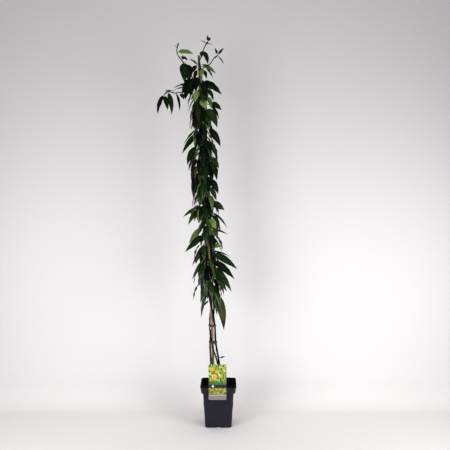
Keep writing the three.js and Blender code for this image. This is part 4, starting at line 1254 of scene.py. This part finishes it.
class HONEYSUCKLE_OT_pot(bpy.types.Operator):
    """Mould the square pot: a tapered skin with a collar, given its wall, holes and round edges"""
    bl_idname = "honeysuckle.pot"
    bl_label = "Pot"

    def execute(self, context):
        settings = context.scene.honeysuckle_pot
        bead, rib = settings.bead / MM, settings.rib / MM
        band_foot, band_top = WALL_BAND
        wall_slope = (BODY_TOP_HALF - BASE_HALF) / COLLAR_FOOT
        foot_half = BASE_HALF + wall_slope * band_foot
        top_half = BASE_HALF + wall_slope * band_top
        bead_foot = POT_HEIGHT - BEAD_HEIGHT
        neck_half = RIM_HALF - COLLAR_SLOPE * BEAD_HEIGHT
        # Half the pot's width at each level, from its base to its rim
        profile = (
            (foot_half, band_foot),
            (foot_half + rib, band_foot + EDGE_BLEND),
            (top_half + rib, band_top - EDGE_BLEND),
            (top_half, band_top),
            (BODY_TOP_HALF, COLLAR_FOOT),
            (COLLAR_FOOT_HALF, COLLAR_FOOT + 0.01),
            (neck_half, bead_foot),
            (neck_half + bead, bead_foot + EDGE_BLEND),
            (RIM_HALF + bead, POT_HEIGHT),
        )
        clear_selection()
        bpy.ops.mesh.primitive_plane_add(size=2 * BASE_HALF * MM)
        pot = added("nursery_pot")
        edit(pot)
        bpy.ops.mesh.bevel(offset=BASE_CORNER * MM, segments=8, affect="VERTICES")
        bpy.ops.mesh.select_all(action="SELECT")
        bpy.ops.mesh.select_mode(type="FACE")
        half, level = BASE_HALF, 0.0
        for next_half, next_level in profile:
            bpy.ops.mesh.extrude_region_move(
                TRANSFORM_OT_translate={"value": (0, 0, (next_level - level) * MM)})
            grow = next_half / half
            bpy.ops.transform.resize(value=(grow, grow, 1), center_override=(0, 0, next_level * MM))
            half, level = next_half, next_level
        bpy.ops.mesh.delete(type="FACE")
        turn_faces()
        wear(pot, pot_material(settings), inside_shade_material(settings))
        # The inner skin takes the second material, whose near black is painted shade inside the pot
        apply_modifier(pot, "SOLIDIFY", thickness=settings.wall, offset=-1.0, use_even_offset=True,
                       material_offset=1)
        cutters = self.cutters(settings)
        apply_modifier(pot, "BOOLEAN", operation="DIFFERENCE", object=cutters, solver="EXACT")
        discard(cutters)
        apply_modifier(pot, "BEVEL", width=settings.edge, segments=2, limit_method="ANGLE",
                       angle_limit=math.radians(35))
        smooth(pot, 32)
        install(pot, "pot_plastic", "pot")
        return {"FINISHED"}

    def cutters(self, settings):
        """Four drain holes and a notch in the middle of each lower edge, as one cutting shape."""
        drain_radius, drain_offset = 6 * MM, 32 * MM
        notch_width, notch_depth, notch_height = 16 * MM, 8 * MM, 8 * MM
        pieces = []
        for x, y in ((1, 1), (-1, 1), (-1, -1), (1, -1)):
            clear_selection()
            bpy.ops.mesh.primitive_cylinder_add(
                vertices=28, radius=drain_radius, depth=6 * settings.wall,
                location=(x * drain_offset, y * drain_offset, 0))
            pieces.append(added("drain"))
        for turn in range(4):
            across = turn % 2 == 0
            place = (1 if turn < 2 else -1) * BASE_HALF * MM
            clear_selection()
            bpy.ops.mesh.primitive_cube_add(size=1, location=(0, place, 0) if across else (place, 0, 0))
            notch = added("notch")
            notch.scale = (notch_width, notch_depth, notch_height) if across else (
                notch_depth, notch_width, notch_height)
            pieces.append(notch)
        cutters = joined("cutters", pieces)
        bpy.ops.object.transform_apply(location=True, rotation=True, scale=True)
        return cutters


class HONEYSUCKLE_OT_soil(bpy.types.Operator):
    """Fill the pot with compost: a lumpy block with loose crumbs and bark chips on top"""
    bl_idname = "honeysuckle.soil"
    bl_label = "Soil"

    def execute(self, context):
        settings = context.scene.honeysuckle_soil
        low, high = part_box("soil")
        top_half = high.x
        base_half = top_half - (BODY_TOP_HALF - BASE_HALF) * MM
        clear_selection()
        bpy.ops.mesh.primitive_grid_add(x_subdivisions=SOIL_ROWS, y_subdivisions=SOIL_ROWS, size=2)
        soil = added("compost")
        places = get_places(soil)
        for place in places:
            x, y = place[0], place[1]
            # The grid's square is drawn in to a square with round corners
            reach = max(abs(x), abs(y))
            corner = min(abs(x), abs(y)) / reach if reach else 0
            pull = 1 - max(corner - (1 - SOIL_CORNER), 0) * (math.sqrt(2) - 1)
            place[0], place[1] = x * pull * top_half, y * pull * top_half
            lump = self.lump_at(place[0], place[1])
            edge = smoothstep(0.0, 0.25, 1 - reach)
            place[2] = high.z + settings.relief * (lump * (0.35 + 0.65 * edge) - 0.9 * (1 - edge))
        set_places(soil, places)
        edit(soil)
        bpy.ops.mesh.select_all(action="DESELECT")
        bpy.ops.mesh.select_non_manifold()
        bpy.ops.mesh.extrude_edges_move(TRANSFORM_OT_translate={"value": (0, 0, low.z - high.z)})
        shrink = base_half / top_half
        bpy.ops.transform.resize(value=(shrink, shrink, 0), center_override=(0, 0, low.z))
        bpy.ops.mesh.fill_holes(sides=0)
        turn_faces()
        smooth(soil, 60)
        compost, chips = soil_material(settings), chip_material()
        wear(soil, compost, chips)
        crumbs = self.crumbs(settings, top_half, high.z, compost, chips)
        soil = joined("compost", [soil] + crumbs)
        install(soil, "compost", "soil")
        return {"FINISHED"}

    def lump_at(self, x, y):
        """How high a lump of the compost stands at a place, as a part of its relief."""
        return noise.fractal(Vector((x, y, 0)) / (LUMP_SIZE * MM), 0.9, 2.1, 4)

    def crumbs(self, settings, half, top, compost, chips):
        """Loose crumbs, some of them flat bark chips."""
        chance = random.Random(CRUMB_SEED)
        clear_selection()
        bpy.ops.mesh.primitive_ico_sphere_add(subdivisions=2, radius=1)
        template = added("crumb")
        ball = get_places(template)
        made = []
        for index in range(settings.crumbs):
            flat = index % CHIP_EVERY == 0
            size = chance.uniform(0.9, 2.2) * MM
            turn = chance.uniform(0, 2 * math.pi)
            shape = (1.9, 1.0, 0.4) if flat else (1.0, chance.uniform(0.7, 1.0), chance.uniform(0.6, 0.9))
            lumps = np.array([0.8 + 0.35 * noise.noise(Vector(point) * 1.3 + Vector((index, 0, 0)))
                              for point in ball])[:, None]
            body = ball * lumps * shape * size
            spun = np.column_stack((
                body[:, 0] * math.cos(turn) - body[:, 1] * math.sin(turn),
                body[:, 0] * math.sin(turn) + body[:, 1] * math.cos(turn),
                body[:, 2],
            ))
            spot = (chance.uniform(-1, 1) * (half - 3 * MM), chance.uniform(-1, 1) * (half - 3 * MM))
            lump = self.lump_at(*spot)
            crumb = copy_of(template)
            set_places(crumb, spun + np.array([spot[0], spot[1], top + settings.relief * lump * 0.8]))
            wear(crumb, chips if flat else compost)
            made.append(crumb)
        discard(template)
        return made


class HONEYSUCKLE_OT_cane(bpy.types.Operator):
    """Grow the bamboo cane: a slightly crooked rod with ridged rings and a hollow cut top"""
    bl_idname = "honeysuckle.cane"
    bl_label = "Cane"

    def execute(self, context):
        settings = context.scene.honeysuckle_cane
        ridge = settings.ridge / MM
        # Heights round a ring and how proud the rind is there: it swells, stands up in a lip at
        # the sheath's scar, and dips above it
        ring_form = ((-7, 0.0), (-4, 0.25), (-2, 0.6), (-0.6, 1.0), (0.2, 0.95), (0.7, 0.2), (1.6, 0.1),
                     (2.6, 0.5), (4, 0.35), (7, 0.0))
        levels = {float(CANE_BOTTOM): 0.0, float(CANE_TOP): 0.0}
        for level in range(CANE_BOTTOM + CANE_STEP, CANE_TOP - 8, CANE_STEP):
            if min(abs(level - ring) for ring in CANE_NODES) > 9:
                levels[float(level)] = 0.0
        for ring in CANE_NODES:
            for rise, proud in ring_form:
                levels[ring + rise] = proud * ridge
        heights = sorted(levels)
        path, radii = [], []
        for z in heights:
            # The cane isn't quite straight or quite round
            sway = [0.45 * noise.noise(Vector((z / 140.0, seed, 0.0))) for seed in (1.0, 9.0)]
            path.append(cane_at(z) + np.array([sway[0], sway[1], 0.0]))
            radii.append(cane_radius(z) + levels[z] + 0.12 * noise.noise(Vector((z / 60.0, 3.0, 0.0))))
        cane = rolled_tube("bamboo_cane", np.array(path) * MM, np.array(radii) * MM, 22)
        top = path[-1] * MM
        edit(cane)
        select_faces(cane, lambda centre, normal: normal.z > 0.8 and centre.z > top[2] - 1 * MM)
        bpy.ops.mesh.inset(thickness=1.3 * MM)
        bpy.ops.mesh.extrude_region_move(TRANSFORM_OT_translate={"value": (0, 0, -settings.bore)})
        bpy.ops.object.mode_set(mode="OBJECT")
        places = get_places(cane) / MM
        near = np.min(np.abs(places[:, 2][:, None] - (np.array(CANE_NODES) + 0.3)[None, :]), axis=1)
        mark(cane, "ring", np.exp(-(near / 1.1) ** 2))
        smooth(cane, 60)
        wear(cane, bamboo_material(settings))
        install(cane, "bamboo", "cane")
        return {"FINISHED"}


class HONEYSUCKLE_OT_stems(bpy.types.Operator):
    """Twine the woody stems round the cane, with their free shoots"""
    bl_idname = "honeysuckle.stems"
    bl_label = "Stems"

    def execute(self, context):
        settings = context.scene.honeysuckle_foliage
        bark = bark_material(settings)
        growth = plan_plant()
        for stem in STEMS:
            pieces = [self.main_stem(stem, growth[stem["name"]].levels, settings)]
            for level, points in stem["shoots"]:
                pieces.append(self.shoot(stem, level, points))
            whole = joined("stem_" + stem["name"], pieces)
            wear(whole, bark)
            install(whole, "foliage", "leafy_stem_" + stem["name"])
        return {"FINISHED"}

    def main_stem(self, stem, knots, settings):
        """A stem with a swelling at every pair of leaves, and a bark that isn't quite round.

        Where a cord holds it, it is plain and keeps to its course.
        """
        lowest = SOIL_TOP + 22 + stem["phase"] / 9
        knots = knots + list(np.arange(lowest, stem["leaves"][0], BARE_KNOT_GAP))
        knots = [knot for knot in knots if from_tie(knot) > TIE_GRIP]
        heights = set(np.arange(STEM_BOTTOM, stem["end"], STEM_STEP)) | {float(stem["end"])}
        for knot in knots:
            heights.update(knot + rise for rise in (-3.0, -1.2, 0.0, 1.2, 3.0) if knot + rise < stem["end"])
        heights = sorted(heights)
        swell = settings.swelling / MM
        seed = stem["phase"] + 5.0
        path, radii = [], []
        for z in heights:
            nearest = min((abs(z - knot) for knot in knots), default=99.0)
            free = 1 - math.exp(-(from_tie(z) / TIE_GRIP) ** 2)
            bumpy = 0.25 * free * noise.noise(Vector((z / 16.0, seed, 2.0)))
            sway = [0.5 * free * noise.noise(Vector((z / 45.0, seed, axis))) for axis in (4.0, 8.0)]
            path.append(stem_at(stem, z) + np.array([sway[0], sway[1], 0.0]))
            radii.append(stem_radius(stem, z) * (1 + 0.3 * bumpy) + swell * math.exp(-(nearest / 2.2) ** 2))
        return rolled_tube("stem", np.array(path) * MM, np.array(radii) * MM, 10)

    def shoot(self, stem, level, points):
        """A free shoot: a smooth curve through its points, tapering to its tip."""
        stations = [stem_at(stem, level)] + [in_view(point) for point in points]
        path = through(stations, 6)
        radii = np.linspace(stem["radius"][1], SHOOT_TIP_RADIUS, len(path)) + SHOOT_DOWN
        # The last leaves are still furled round the tip, as a slim bud
        left = np.linalg.norm(path - path[-1], axis=1)
        radii = radii * (1 + 0.8 * np.exp(-((left - 9) / 6) ** 2)) * np.clip(left / 4, 0.35, 1)
        return rolled_tube("shoot", path * MM, radii * MM, 8)


class HONEYSUCKLE_OT_leaves(bpy.types.Operator):
    """Grow every leaf: one modelled blade and one stalk, each copied and bent to its place"""
    bl_idname = "honeysuckle.leaves"
    bl_label = "Leaves"

    def execute(self, context):
        settings = context.scene.honeysuckle_foliage
        upper = upper_leaf_material(settings)
        under = under_leaf_material(settings)
        stalk_finish = stalk_material(settings)
        blade = self.blade_template(upper, under)
        stalk = self.stalk_template(stalk_finish)
        chance = random.Random(LEAF_SEED + 1)
        for name, grown in plan_plant().items():
            pieces = []
            for leaf in grown.leaves:
                tint = (leaf.tone[0], chance.random(), leaf.tone[1], leaf.tone[2])
                twist = chance.uniform(-0.35, 0.35)
                pieces.append(self.bent_blade(blade, leaf, tint, twist, chance, settings))
                pieces.append(self.bent_stalk(stalk, leaf, tint, twist, settings))
            leaves = joined("leaves_" + name, pieces)
            smooth(leaves, 60)
            install(leaves, "foliage", "leafy_stem_" + name)
        discard(blade)
        discard(stalk)
        return {"FINISHED"}

    def blade_template(self, upper, under):
        """A flat blade: x from base (0) to tip (1), y across (-1 to 1), z 0 above and -1 below."""
        clear_selection()
        bpy.ops.mesh.primitive_grid_add(x_subdivisions=16, y_subdivisions=8, size=1)
        blade = added("blade")
        places = get_places(blade)
        along = places[:, 0] + 0.5
        # Rows stand closer near the base and the tip, where the outline turns fastest
        along = 0.55 * along + 0.45 * (3 * along ** 2 - 2 * along ** 3)
        set_places(blade, np.column_stack((along, 2 * places[:, 1], np.zeros(len(places)))))
        layer = blade.data.uv_layers["UVMap"].data
        for loop in blade.data.loops:
            place = blade.data.vertices[loop.vertex_index].co
            layer[loop.index].uv = (place.x, (place.y + 1) / 2)
        wear(blade, upper, under)
        apply_modifier(blade, "SOLIDIFY", thickness=1.0, offset=-1.0, material_offset=1,
                       material_offset_rim=1, use_even_offset=False)
        return blade

    def stalk_template(self, finish):
        """A straight stalk: x from its root (0) to its end (1), round in y and z."""
        path = np.column_stack((np.linspace(0, 1, 12), np.zeros(12), np.zeros(12)))
        stalk = rolled_tube("stalk", path, np.ones(12), 6, (0.0, 1.0, 0.0))
        wear(stalk, finish)
        return stalk

    def paint(self, piece, tint):
        """Stores a leaf's tone on every vertex of a piece."""
        layer = piece.data.color_attributes.new("tone", "FLOAT_COLOR", "POINT")
        layer.data.foreach_set("color", np.tile(np.asarray(tint, np.float32), len(piece.data.vertices)))

    def bent_blade(self, template, leaf, tint, twist, chance, settings):
        piece = copy_of(template)
        grid = get_places(template)
        s, v, depth = grid[:, 0], grid[:, 1], -grid[:, 2]
        place, side, normal = blade_axes(leaf, s, twist)
        fuller = 1 + 0.3 * (1 - smoothstep(8, 20, leaf.width))
        half = fuller * leaf.width / 2 * blade_profile(np.clip(s, 0, 1))
        half = np.maximum(half, 0.7 * (1 - s) + 0.12)
        waves, phase = chance.uniform(2.2, 3.6), chance.random()
        beat = np.sin(2 * math.pi * (waves * s + phase + 0.37 * (v < 0)))
        rise = half * (settings.fold * np.abs(v) - settings.curl * np.abs(v) ** 2.4
                       + settings.wave * v * v * beat * chance.uniform(0.5, 1.3))
        thick = settings.blade / MM * (1 - 0.5 * np.abs(v))
        groove = 0.18 * (np.abs(v) < 0.05) * (depth < 0.5)
        height = rise + thick * (0.5 - depth) - groove
        places = place + side * (v * half)[:, None] + normal * height[:, None]
        set_places(piece, places * MM)
        self.paint(piece, tint)
        return piece

    def bent_stalk(self, template, leaf, tint, twist, settings):
        """A stalk from the stem to the blade, which runs on below the blade as its midrib."""
        piece = copy_of(template)
        tube = get_places(template)
        reach = np.linalg.norm(leaf.base - leaf.origin)
        stations = np.array([0.0, 0.1, 0.22, 0.36, 0.52, 0.7, 0.88])
        place, side, normal = blade_axes(leaf, stations, twist)
        ribs = 0.62 * (1 - stations) ** 0.8 + 0.1
        below = place - normal * (settings.blade / MM * 0.5 + 0.35 * ribs)[:, None]
        bend = (leaf.origin + leaf.base) / 2 + np.array([0.0, 0.0, 0.08 * reach])
        stalk = [leaf.origin, leaf.origin * 0.55 + bend * 0.45, bend, bend * 0.5 + leaf.base * 0.5,
                 leaf.base * 0.85 + bend * 0.15]
        path = np.array(stalk + list(below))
        thick = 0.85 if reach < 16 else 1.0
        radii = np.concatenate((np.linspace(thick * 1.25, 0.8, len(stalk)), ribs))
        along = directions(path)
        across = np.vstack((np.tile(side[0], (len(stalk), 1)), side))
        across = across - along * np.sum(across * along, axis=1)[:, None]
        across /= np.maximum(np.linalg.norm(across, axis=1), 1e-6)[:, None]
        other = np.cross(along, across)
        ring = np.clip(np.rint(tube[:, 0] * (len(path) - 1)).astype(int), 0, len(path) - 1)
        radius = radii[ring][:, None]
        places = path[ring] + radius * (tube[:, 1:2] * across[ring] + tube[:, 2:3] * other[ring])
        set_places(piece, places * MM)
        self.paint(piece, tint)
        return piece


class HONEYSUCKLE_OT_ties(bpy.types.Operator):
    """Tie the stems to the cane: cord wound three times round them, its two ends twisted together"""
    bl_idname = "honeysuckle.ties"
    bl_label = "Ties"

    def execute(self, context):
        settings = context.scene.honeysuckle_ties
        jute = cord_material(settings)
        for name, (level, angle) in TIES.items():
            tie = self.tie(name, level, math.radians(angle), settings)
            wear(tie, jute)
            install(tie, "tie_cord", name)
        return {"FINISHED"}

    def tie(self, name, level, angle, settings):
        """A cord wound round the cane and stems at a level, and its ends twisted together outside."""
        thick = settings.thickness / MM
        hug = self.hug(level, thick / 2 + TIE_CLEARANCE)
        path = []
        for step in range(TIE_TURNS * TIE_STEPS + 1):
            share = step / (TIE_TURNS * TIE_STEPS)
            rise = thick * 1.02 * (TIE_TURNS * share - TIE_TURNS / 2)
            round_it = angle + 2 * math.pi * TIE_TURNS * share
            path.append(self.on_loop(hug, round_it) + np.array([0.0, 0.0, rise]))
        outward = level_spoke(angle)
        sideways = np.array([-math.sin(angle), math.cos(angle), 0.0])
        start = self.on_loop(hug, angle)
        tail = settings.tail / MM
        ends = []
        for first in (True, False):
            end = []
            for step in range(1, 11):
                share = step / 10
                swirl = 2 * math.pi * 0.9 * share + (0 if first else math.pi)
                wide = thick * 0.62 * (1 if share < 0.75 else 1 + 2.2 * (share - 0.75))
                end.append(start + outward * (thick * 0.6 + tail * share * 0.8)
                           + sideways * wide * math.cos(swirl)
                           + np.array([0.0, 0.0, wide * math.sin(swirl) - tail * 0.5 * share * share]))
            ends.append(end)
        whole = np.array(list(reversed(ends[0])) + path + ends[1])
        whole = through(list(whole[::2]), 3)
        radii = np.full(len(whole), thick / 2)
        return rolled_tube(name + "_cord", whole * MM, radii * MM, 9, (0.0, 0.0, 1.0))

    def hug(self, level, gap):
        """A tight loop round the cane and stems, as evenly spaced points."""
        rounds = [(cane_at(level), cane_radius(level) + gap)]
        rounds += [(stem_at(stem, level), stem_radius(stem, level) + gap) for stem in STEMS]
        outline = []
        for angle in np.linspace(0, 2 * math.pi, 90, endpoint=False):
            spoke = level_spoke(angle)
            centre, radius = max(rounds, key=lambda held: held[0].dot(spoke) + held[1])
            outline.append(centre + spoke * radius)
        outline = np.array(outline + outline[:1])
        lengths = np.concatenate(([0.0], np.cumsum(np.linalg.norm(np.diff(outline, axis=0), axis=1))))
        stations = np.linspace(0, lengths[-1], 60, endpoint=False)
        return np.column_stack([np.interp(stations, lengths, outline[:, axis]) for axis in range(3)])

    def on_loop(self, loop, angle):
        """The point of a loop that is so far round it from its first point."""
        share = (angle / (2 * math.pi)) % 1 * len(loop)
        index = int(share)
        here, there = loop[index % len(loop)], loop[(index + 1) % len(loop)]
        return here + (share - index) * (there - here)


class HONEYSUCKLE_OT_label(bpy.types.Operator):
    """Cut the label: a bowed printed card with round corners and a tongue hooked over the rim"""
    bl_idname = "honeysuckle.label"
    bl_label = "Label"

    def execute(self, context):
        settings = context.scene.honeysuckle_label
        low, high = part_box("label")
        front = low.y
        clear_selection()
        bpy.ops.mesh.primitive_plane_add(size=1)
        card = added("plant_label")
        card.scale = (LABEL_WIDTH * MM, LABEL_HEIGHT * MM, 1)
        bpy.ops.object.transform_apply(location=False, rotation=False, scale=True)
        edit(card)
        bpy.ops.mesh.bevel(offset=LABEL_CORNER * MM, segments=8, affect="VERTICES")
        self.slice("x", LABEL_WIDTH * MM, 12)
        self.slice("y", LABEL_HEIGHT * MM, 8)
        bpy.ops.object.mode_set(mode="OBJECT")
        flat = get_places(card)
        bowed = settings.bow * (2 * flat[:, 0] / (LABEL_WIDTH * MM)) ** 2
        lean = 0.5 * MM * np.cos(math.pi * flat[:, 1] / (LABEL_HEIGHT * MM))
        set_places(card, np.column_stack((
            flat[:, 0] + LABEL_X * MM,
            front + settings.card * 0.5 - bowed + lean * 0.4,
            flat[:, 1] + (LABEL_FOOT + LABEL_HEIGHT / 2) * MM,
        )))
        wear(card, print_material(settings), card_material(settings))
        apply_modifier(card, "SOLIDIFY", thickness=settings.card, offset=-1.0, material_offset=1,
                       material_offset_rim=1)
        tongue = self.tongue(front, high, settings)
        wear(tongue, *card.data.materials)
        for face in tongue.data.polygons:
            face.material_index = 1
        label = joined("plant_label", [card, tongue])
        smooth(label, 40)
        install(label, "label_card", "label")
        return {"FINISHED"}

    def slice(self, axis, extent, count):
        """Cuts the card, open in edit mode, into strips along an axis, so that it can bow."""
        for step in range(1, count):
            place = extent * (step / count - 0.5)
            bpy.ops.mesh.select_all(action="SELECT")
            bpy.ops.mesh.bisect(
                plane_co=(place, 0, 0) if axis == "x" else (0, place, 0),
                plane_no=(1, 0, 0) if axis == "x" else (0, 1, 0),
            )

    def tongue(self, front, high, settings):
        """A strip from the card's back over the rim and down the inside of the collar."""
        bridge = (POT_HEIGHT + 0.75) * MM
        inner = high.y
        bend = inner - TONGUE_LEAN * MM
        foot = bridge - (TONGUE_DEPTH - 2) * MM
        route = [
            (front + 0.7 * MM, bridge),
            (front + 1.2 * MM, bridge),
            (front + 1.8 * MM, bridge),
            (bend - 0.8 * MM, bridge),
            (bend - 0.2 * MM, bridge - 1.0 * MM),
            (bend + TONGUE_LEAN * 0.5 * MM, (bridge + foot) / 2),
            (inner - 0.5 * MM, foot),
        ]
        clear_selection()
        bpy.ops.mesh.primitive_grid_add(x_subdivisions=len(route) - 1, y_subdivisions=4, size=1)
        tongue = added("tongue")
        flat = get_places(tongue)
        station = np.rint((flat[:, 0] + 0.5) * (len(route) - 1)).astype(int)
        route = np.array(route)
        taper = 1 - 0.25 * np.maximum(station - 4, 0) / 2
        set_places(tongue, np.column_stack((
            LABEL_X * MM + flat[:, 1] * TONGUE_WIDTH * MM * taper, route[station, 0], route[station, 1],
        )))
        apply_modifier(tongue, "SOLIDIFY", thickness=settings.card, offset=0.0)
        edit(tongue)
        turn_faces()
        return tongue


# The stage in metres: the wall behind the pot, the floor's front edge, their width, the wall's height
# and the radius of the curve between them
WALL_Y = 0.25
FLOOR_FRONT = -2.0
STAGE_WIDTH = 6.0
WALL_HEIGHT = 3.2
COVE_RADIUS = 0.15
# The lights: how far they stand from the pot's middle, how high, the point that they face, the side
# of each, how wide its light spreads, and how far round each stands from straight in front
LIGHT_DISTANCE = 1.6
LIGHT_HEIGHT = 0.62
LIGHT_AIM = Vector((0, 0, 0.42))
LIGHT_SIDE = 0.8
LIGHT_SPREAD_DEGREES = 130
LIGHT_TURNS_DEGREES = {"left": -43, "right": 53}
CAMERA_SENSOR = 36.0


class HONEYSUCKLE_OT_stage(bpy.types.Operator):
    """Set the stage: a pale floor that turns up into a backdrop, two soft lights and the camera"""
    bl_idname = "honeysuckle.stage"
    bl_label = "Stage"

    def execute(self, context):
        settings = context.scene.honeysuckle_stage
        self.backdrop(settings)
        self.lights(settings)
        self.room(settings)
        self.camera(context)
        return {"FINISHED"}

    def backdrop(self, settings):
        """The floor starts in front of the camera and turns up in a curve behind the pot."""
        clear_selection()
        bpy.ops.mesh.primitive_plane_add(size=1)
        backdrop = added("backdrop")
        edit(backdrop)
        bpy.ops.transform.resize(value=(STAGE_WIDTH, WALL_Y - FLOOR_FRONT, 1))
        bpy.ops.transform.translate(value=(0, (WALL_Y + FLOOR_FRONT) / 2, 0))
        bpy.ops.mesh.select_mode(type="EDGE")
        bpy.ops.mesh.select_all(action="DESELECT")
        shape = bmesh.from_edit_mesh(backdrop.data)
        for edge in shape.edges:
            edge.select = all(vertex.co.y > WALL_Y - 0.01 for vertex in edge.verts)
        bmesh.update_edit_mesh(backdrop.data)
        bpy.ops.mesh.extrude_edges_move(TRANSFORM_OT_translate={"value": (0, 0, WALL_HEIGHT)})
        bpy.ops.object.mode_set(mode="OBJECT")
        apply_modifier(backdrop, "BEVEL", width=COVE_RADIUS, segments=10, limit_method="ANGLE")
        edit(backdrop)
        turn_faces(inside=True)
        smooth(backdrop, 60)
        wear(backdrop, stage_material(settings))

    def lights(self, settings):
        """A square soft light on each side of the camera. They lay the two faint shadows."""
        powers = {"left": settings.left_power, "right": settings.right_power}
        for name, degrees in LIGHT_TURNS_DEGREES.items():
            angle = math.radians(degrees)
            spot = Vector((
                math.sin(angle) * LIGHT_DISTANCE, -math.cos(angle) * LIGHT_DISTANCE, LIGHT_HEIGHT,
            ))
            bpy.ops.object.light_add(type="AREA", location=spot)
            light = bpy.context.object
            light.name = "soft_light_" + name
            light.data.shape = "RECTANGLE"
            light.data.size = LIGHT_SIDE
            light.data.size_y = LIGHT_SIDE
            light.data.spread = math.radians(LIGHT_SPREAD_DEGREES)
            light.data.energy = powers[name]
            light.rotation_euler = (LIGHT_AIM - spot).to_track_quat("-Z", "Y").to_euler()

    def room(self, settings):
        """The room is dim, as a studio is, but looks pale where a camera sees past the backdrop."""
        world = bpy.data.worlds.new("dim room")
        world.use_nodes = True
        tree = world.node_tree
        tree.nodes.clear()
        path = node(tree, "ShaderNodeLightPath").outputs
        lift, show = settings.sky - settings.gloom, settings.room - settings.gloom
        fill = maths(tree, "MULTIPLY_ADD", path["Is Diffuse Ray"], lift, settings.gloom)
        strength = maths(tree, "MULTIPLY_ADD", path["Is Camera Ray"], show, fill)
        glow = node(tree, "ShaderNodeBackground", {0: linear("#f3f1f4"), 1: strength})
        node(tree, "ShaderNodeOutputWorld", {0: glow.outputs[0]})
        bpy.context.scene.world = world
        bpy.context.scene.view_settings.view_transform = "Standard"
        bpy.context.scene.view_settings.look = "Medium High Contrast"

    def camera(self, context):
        """The camera looks level from in front, half way up the plant."""
        place = Vector((VIEW_X, -CAMERA_DISTANCE, CAMERA_HEIGHT)) * MM
        bpy.ops.object.camera_add(location=place, rotation=(math.radians(90), 0, 0))
        camera = bpy.context.object
        camera.data.sensor_width = CAMERA_SENSOR
        camera.data.lens = CAMERA_SENSOR * CAMERA_FOCAL_PIXELS / FRAME_PIXELS
        camera.data.clip_end = 50.0
        context.scene.camera = camera


class HONEYSUCKLE_PT_panel(bpy.types.Panel):
    """Every piece of the plant and its stage"""
    bl_label = "Potted honeysuckle"
    bl_space_type = "VIEW_3D"
    bl_region_type = "UI"
    bl_category = "Honeysuckle"

    def draw(self, context):
        for operator in OPERATORS:
            self.layout.operator(operator.bl_idname)


GROUPS = {
    "honeysuckle_pot": PotSettings,
    "honeysuckle_soil": SoilSettings,
    "honeysuckle_cane": CaneSettings,
    "honeysuckle_foliage": FoliageSettings,
    "honeysuckle_ties": TieSettings,
    "honeysuckle_label": LabelSettings,
    "honeysuckle_stage": StageSettings,
}
OPERATORS = (
    HONEYSUCKLE_OT_pot,
    HONEYSUCKLE_OT_soil,
    HONEYSUCKLE_OT_cane,
    HONEYSUCKLE_OT_stems,
    HONEYSUCKLE_OT_leaves,
    HONEYSUCKLE_OT_ties,
    HONEYSUCKLE_OT_label,
    HONEYSUCKLE_OT_stage,
)
CLASSES = (*GROUPS.values(), *OPERATORS, HONEYSUCKLE_PT_panel)


def register():
    for kind in CLASSES:
        bpy.utils.register_class(kind)
    for name, group in GROUPS.items():
        setattr(bpy.types.Scene, name, PointerProperty(type=group))


def unregister():
    for name in GROUPS:
        delattr(bpy.types.Scene, name)
    for kind in reversed(CLASSES):
        bpy.utils.unregister_class(kind)


def main():
    register()
    bpy.ops.honeysuckle.pot()
    bpy.ops.honeysuckle.soil()
    bpy.ops.honeysuckle.cane()
    bpy.ops.honeysuckle.stems()
    bpy.ops.honeysuckle.leaves()
    bpy.ops.honeysuckle.ties()
    bpy.ops.honeysuckle.label()
    bpy.ops.honeysuckle.stage()


if __name__ == "__main__":
    main()
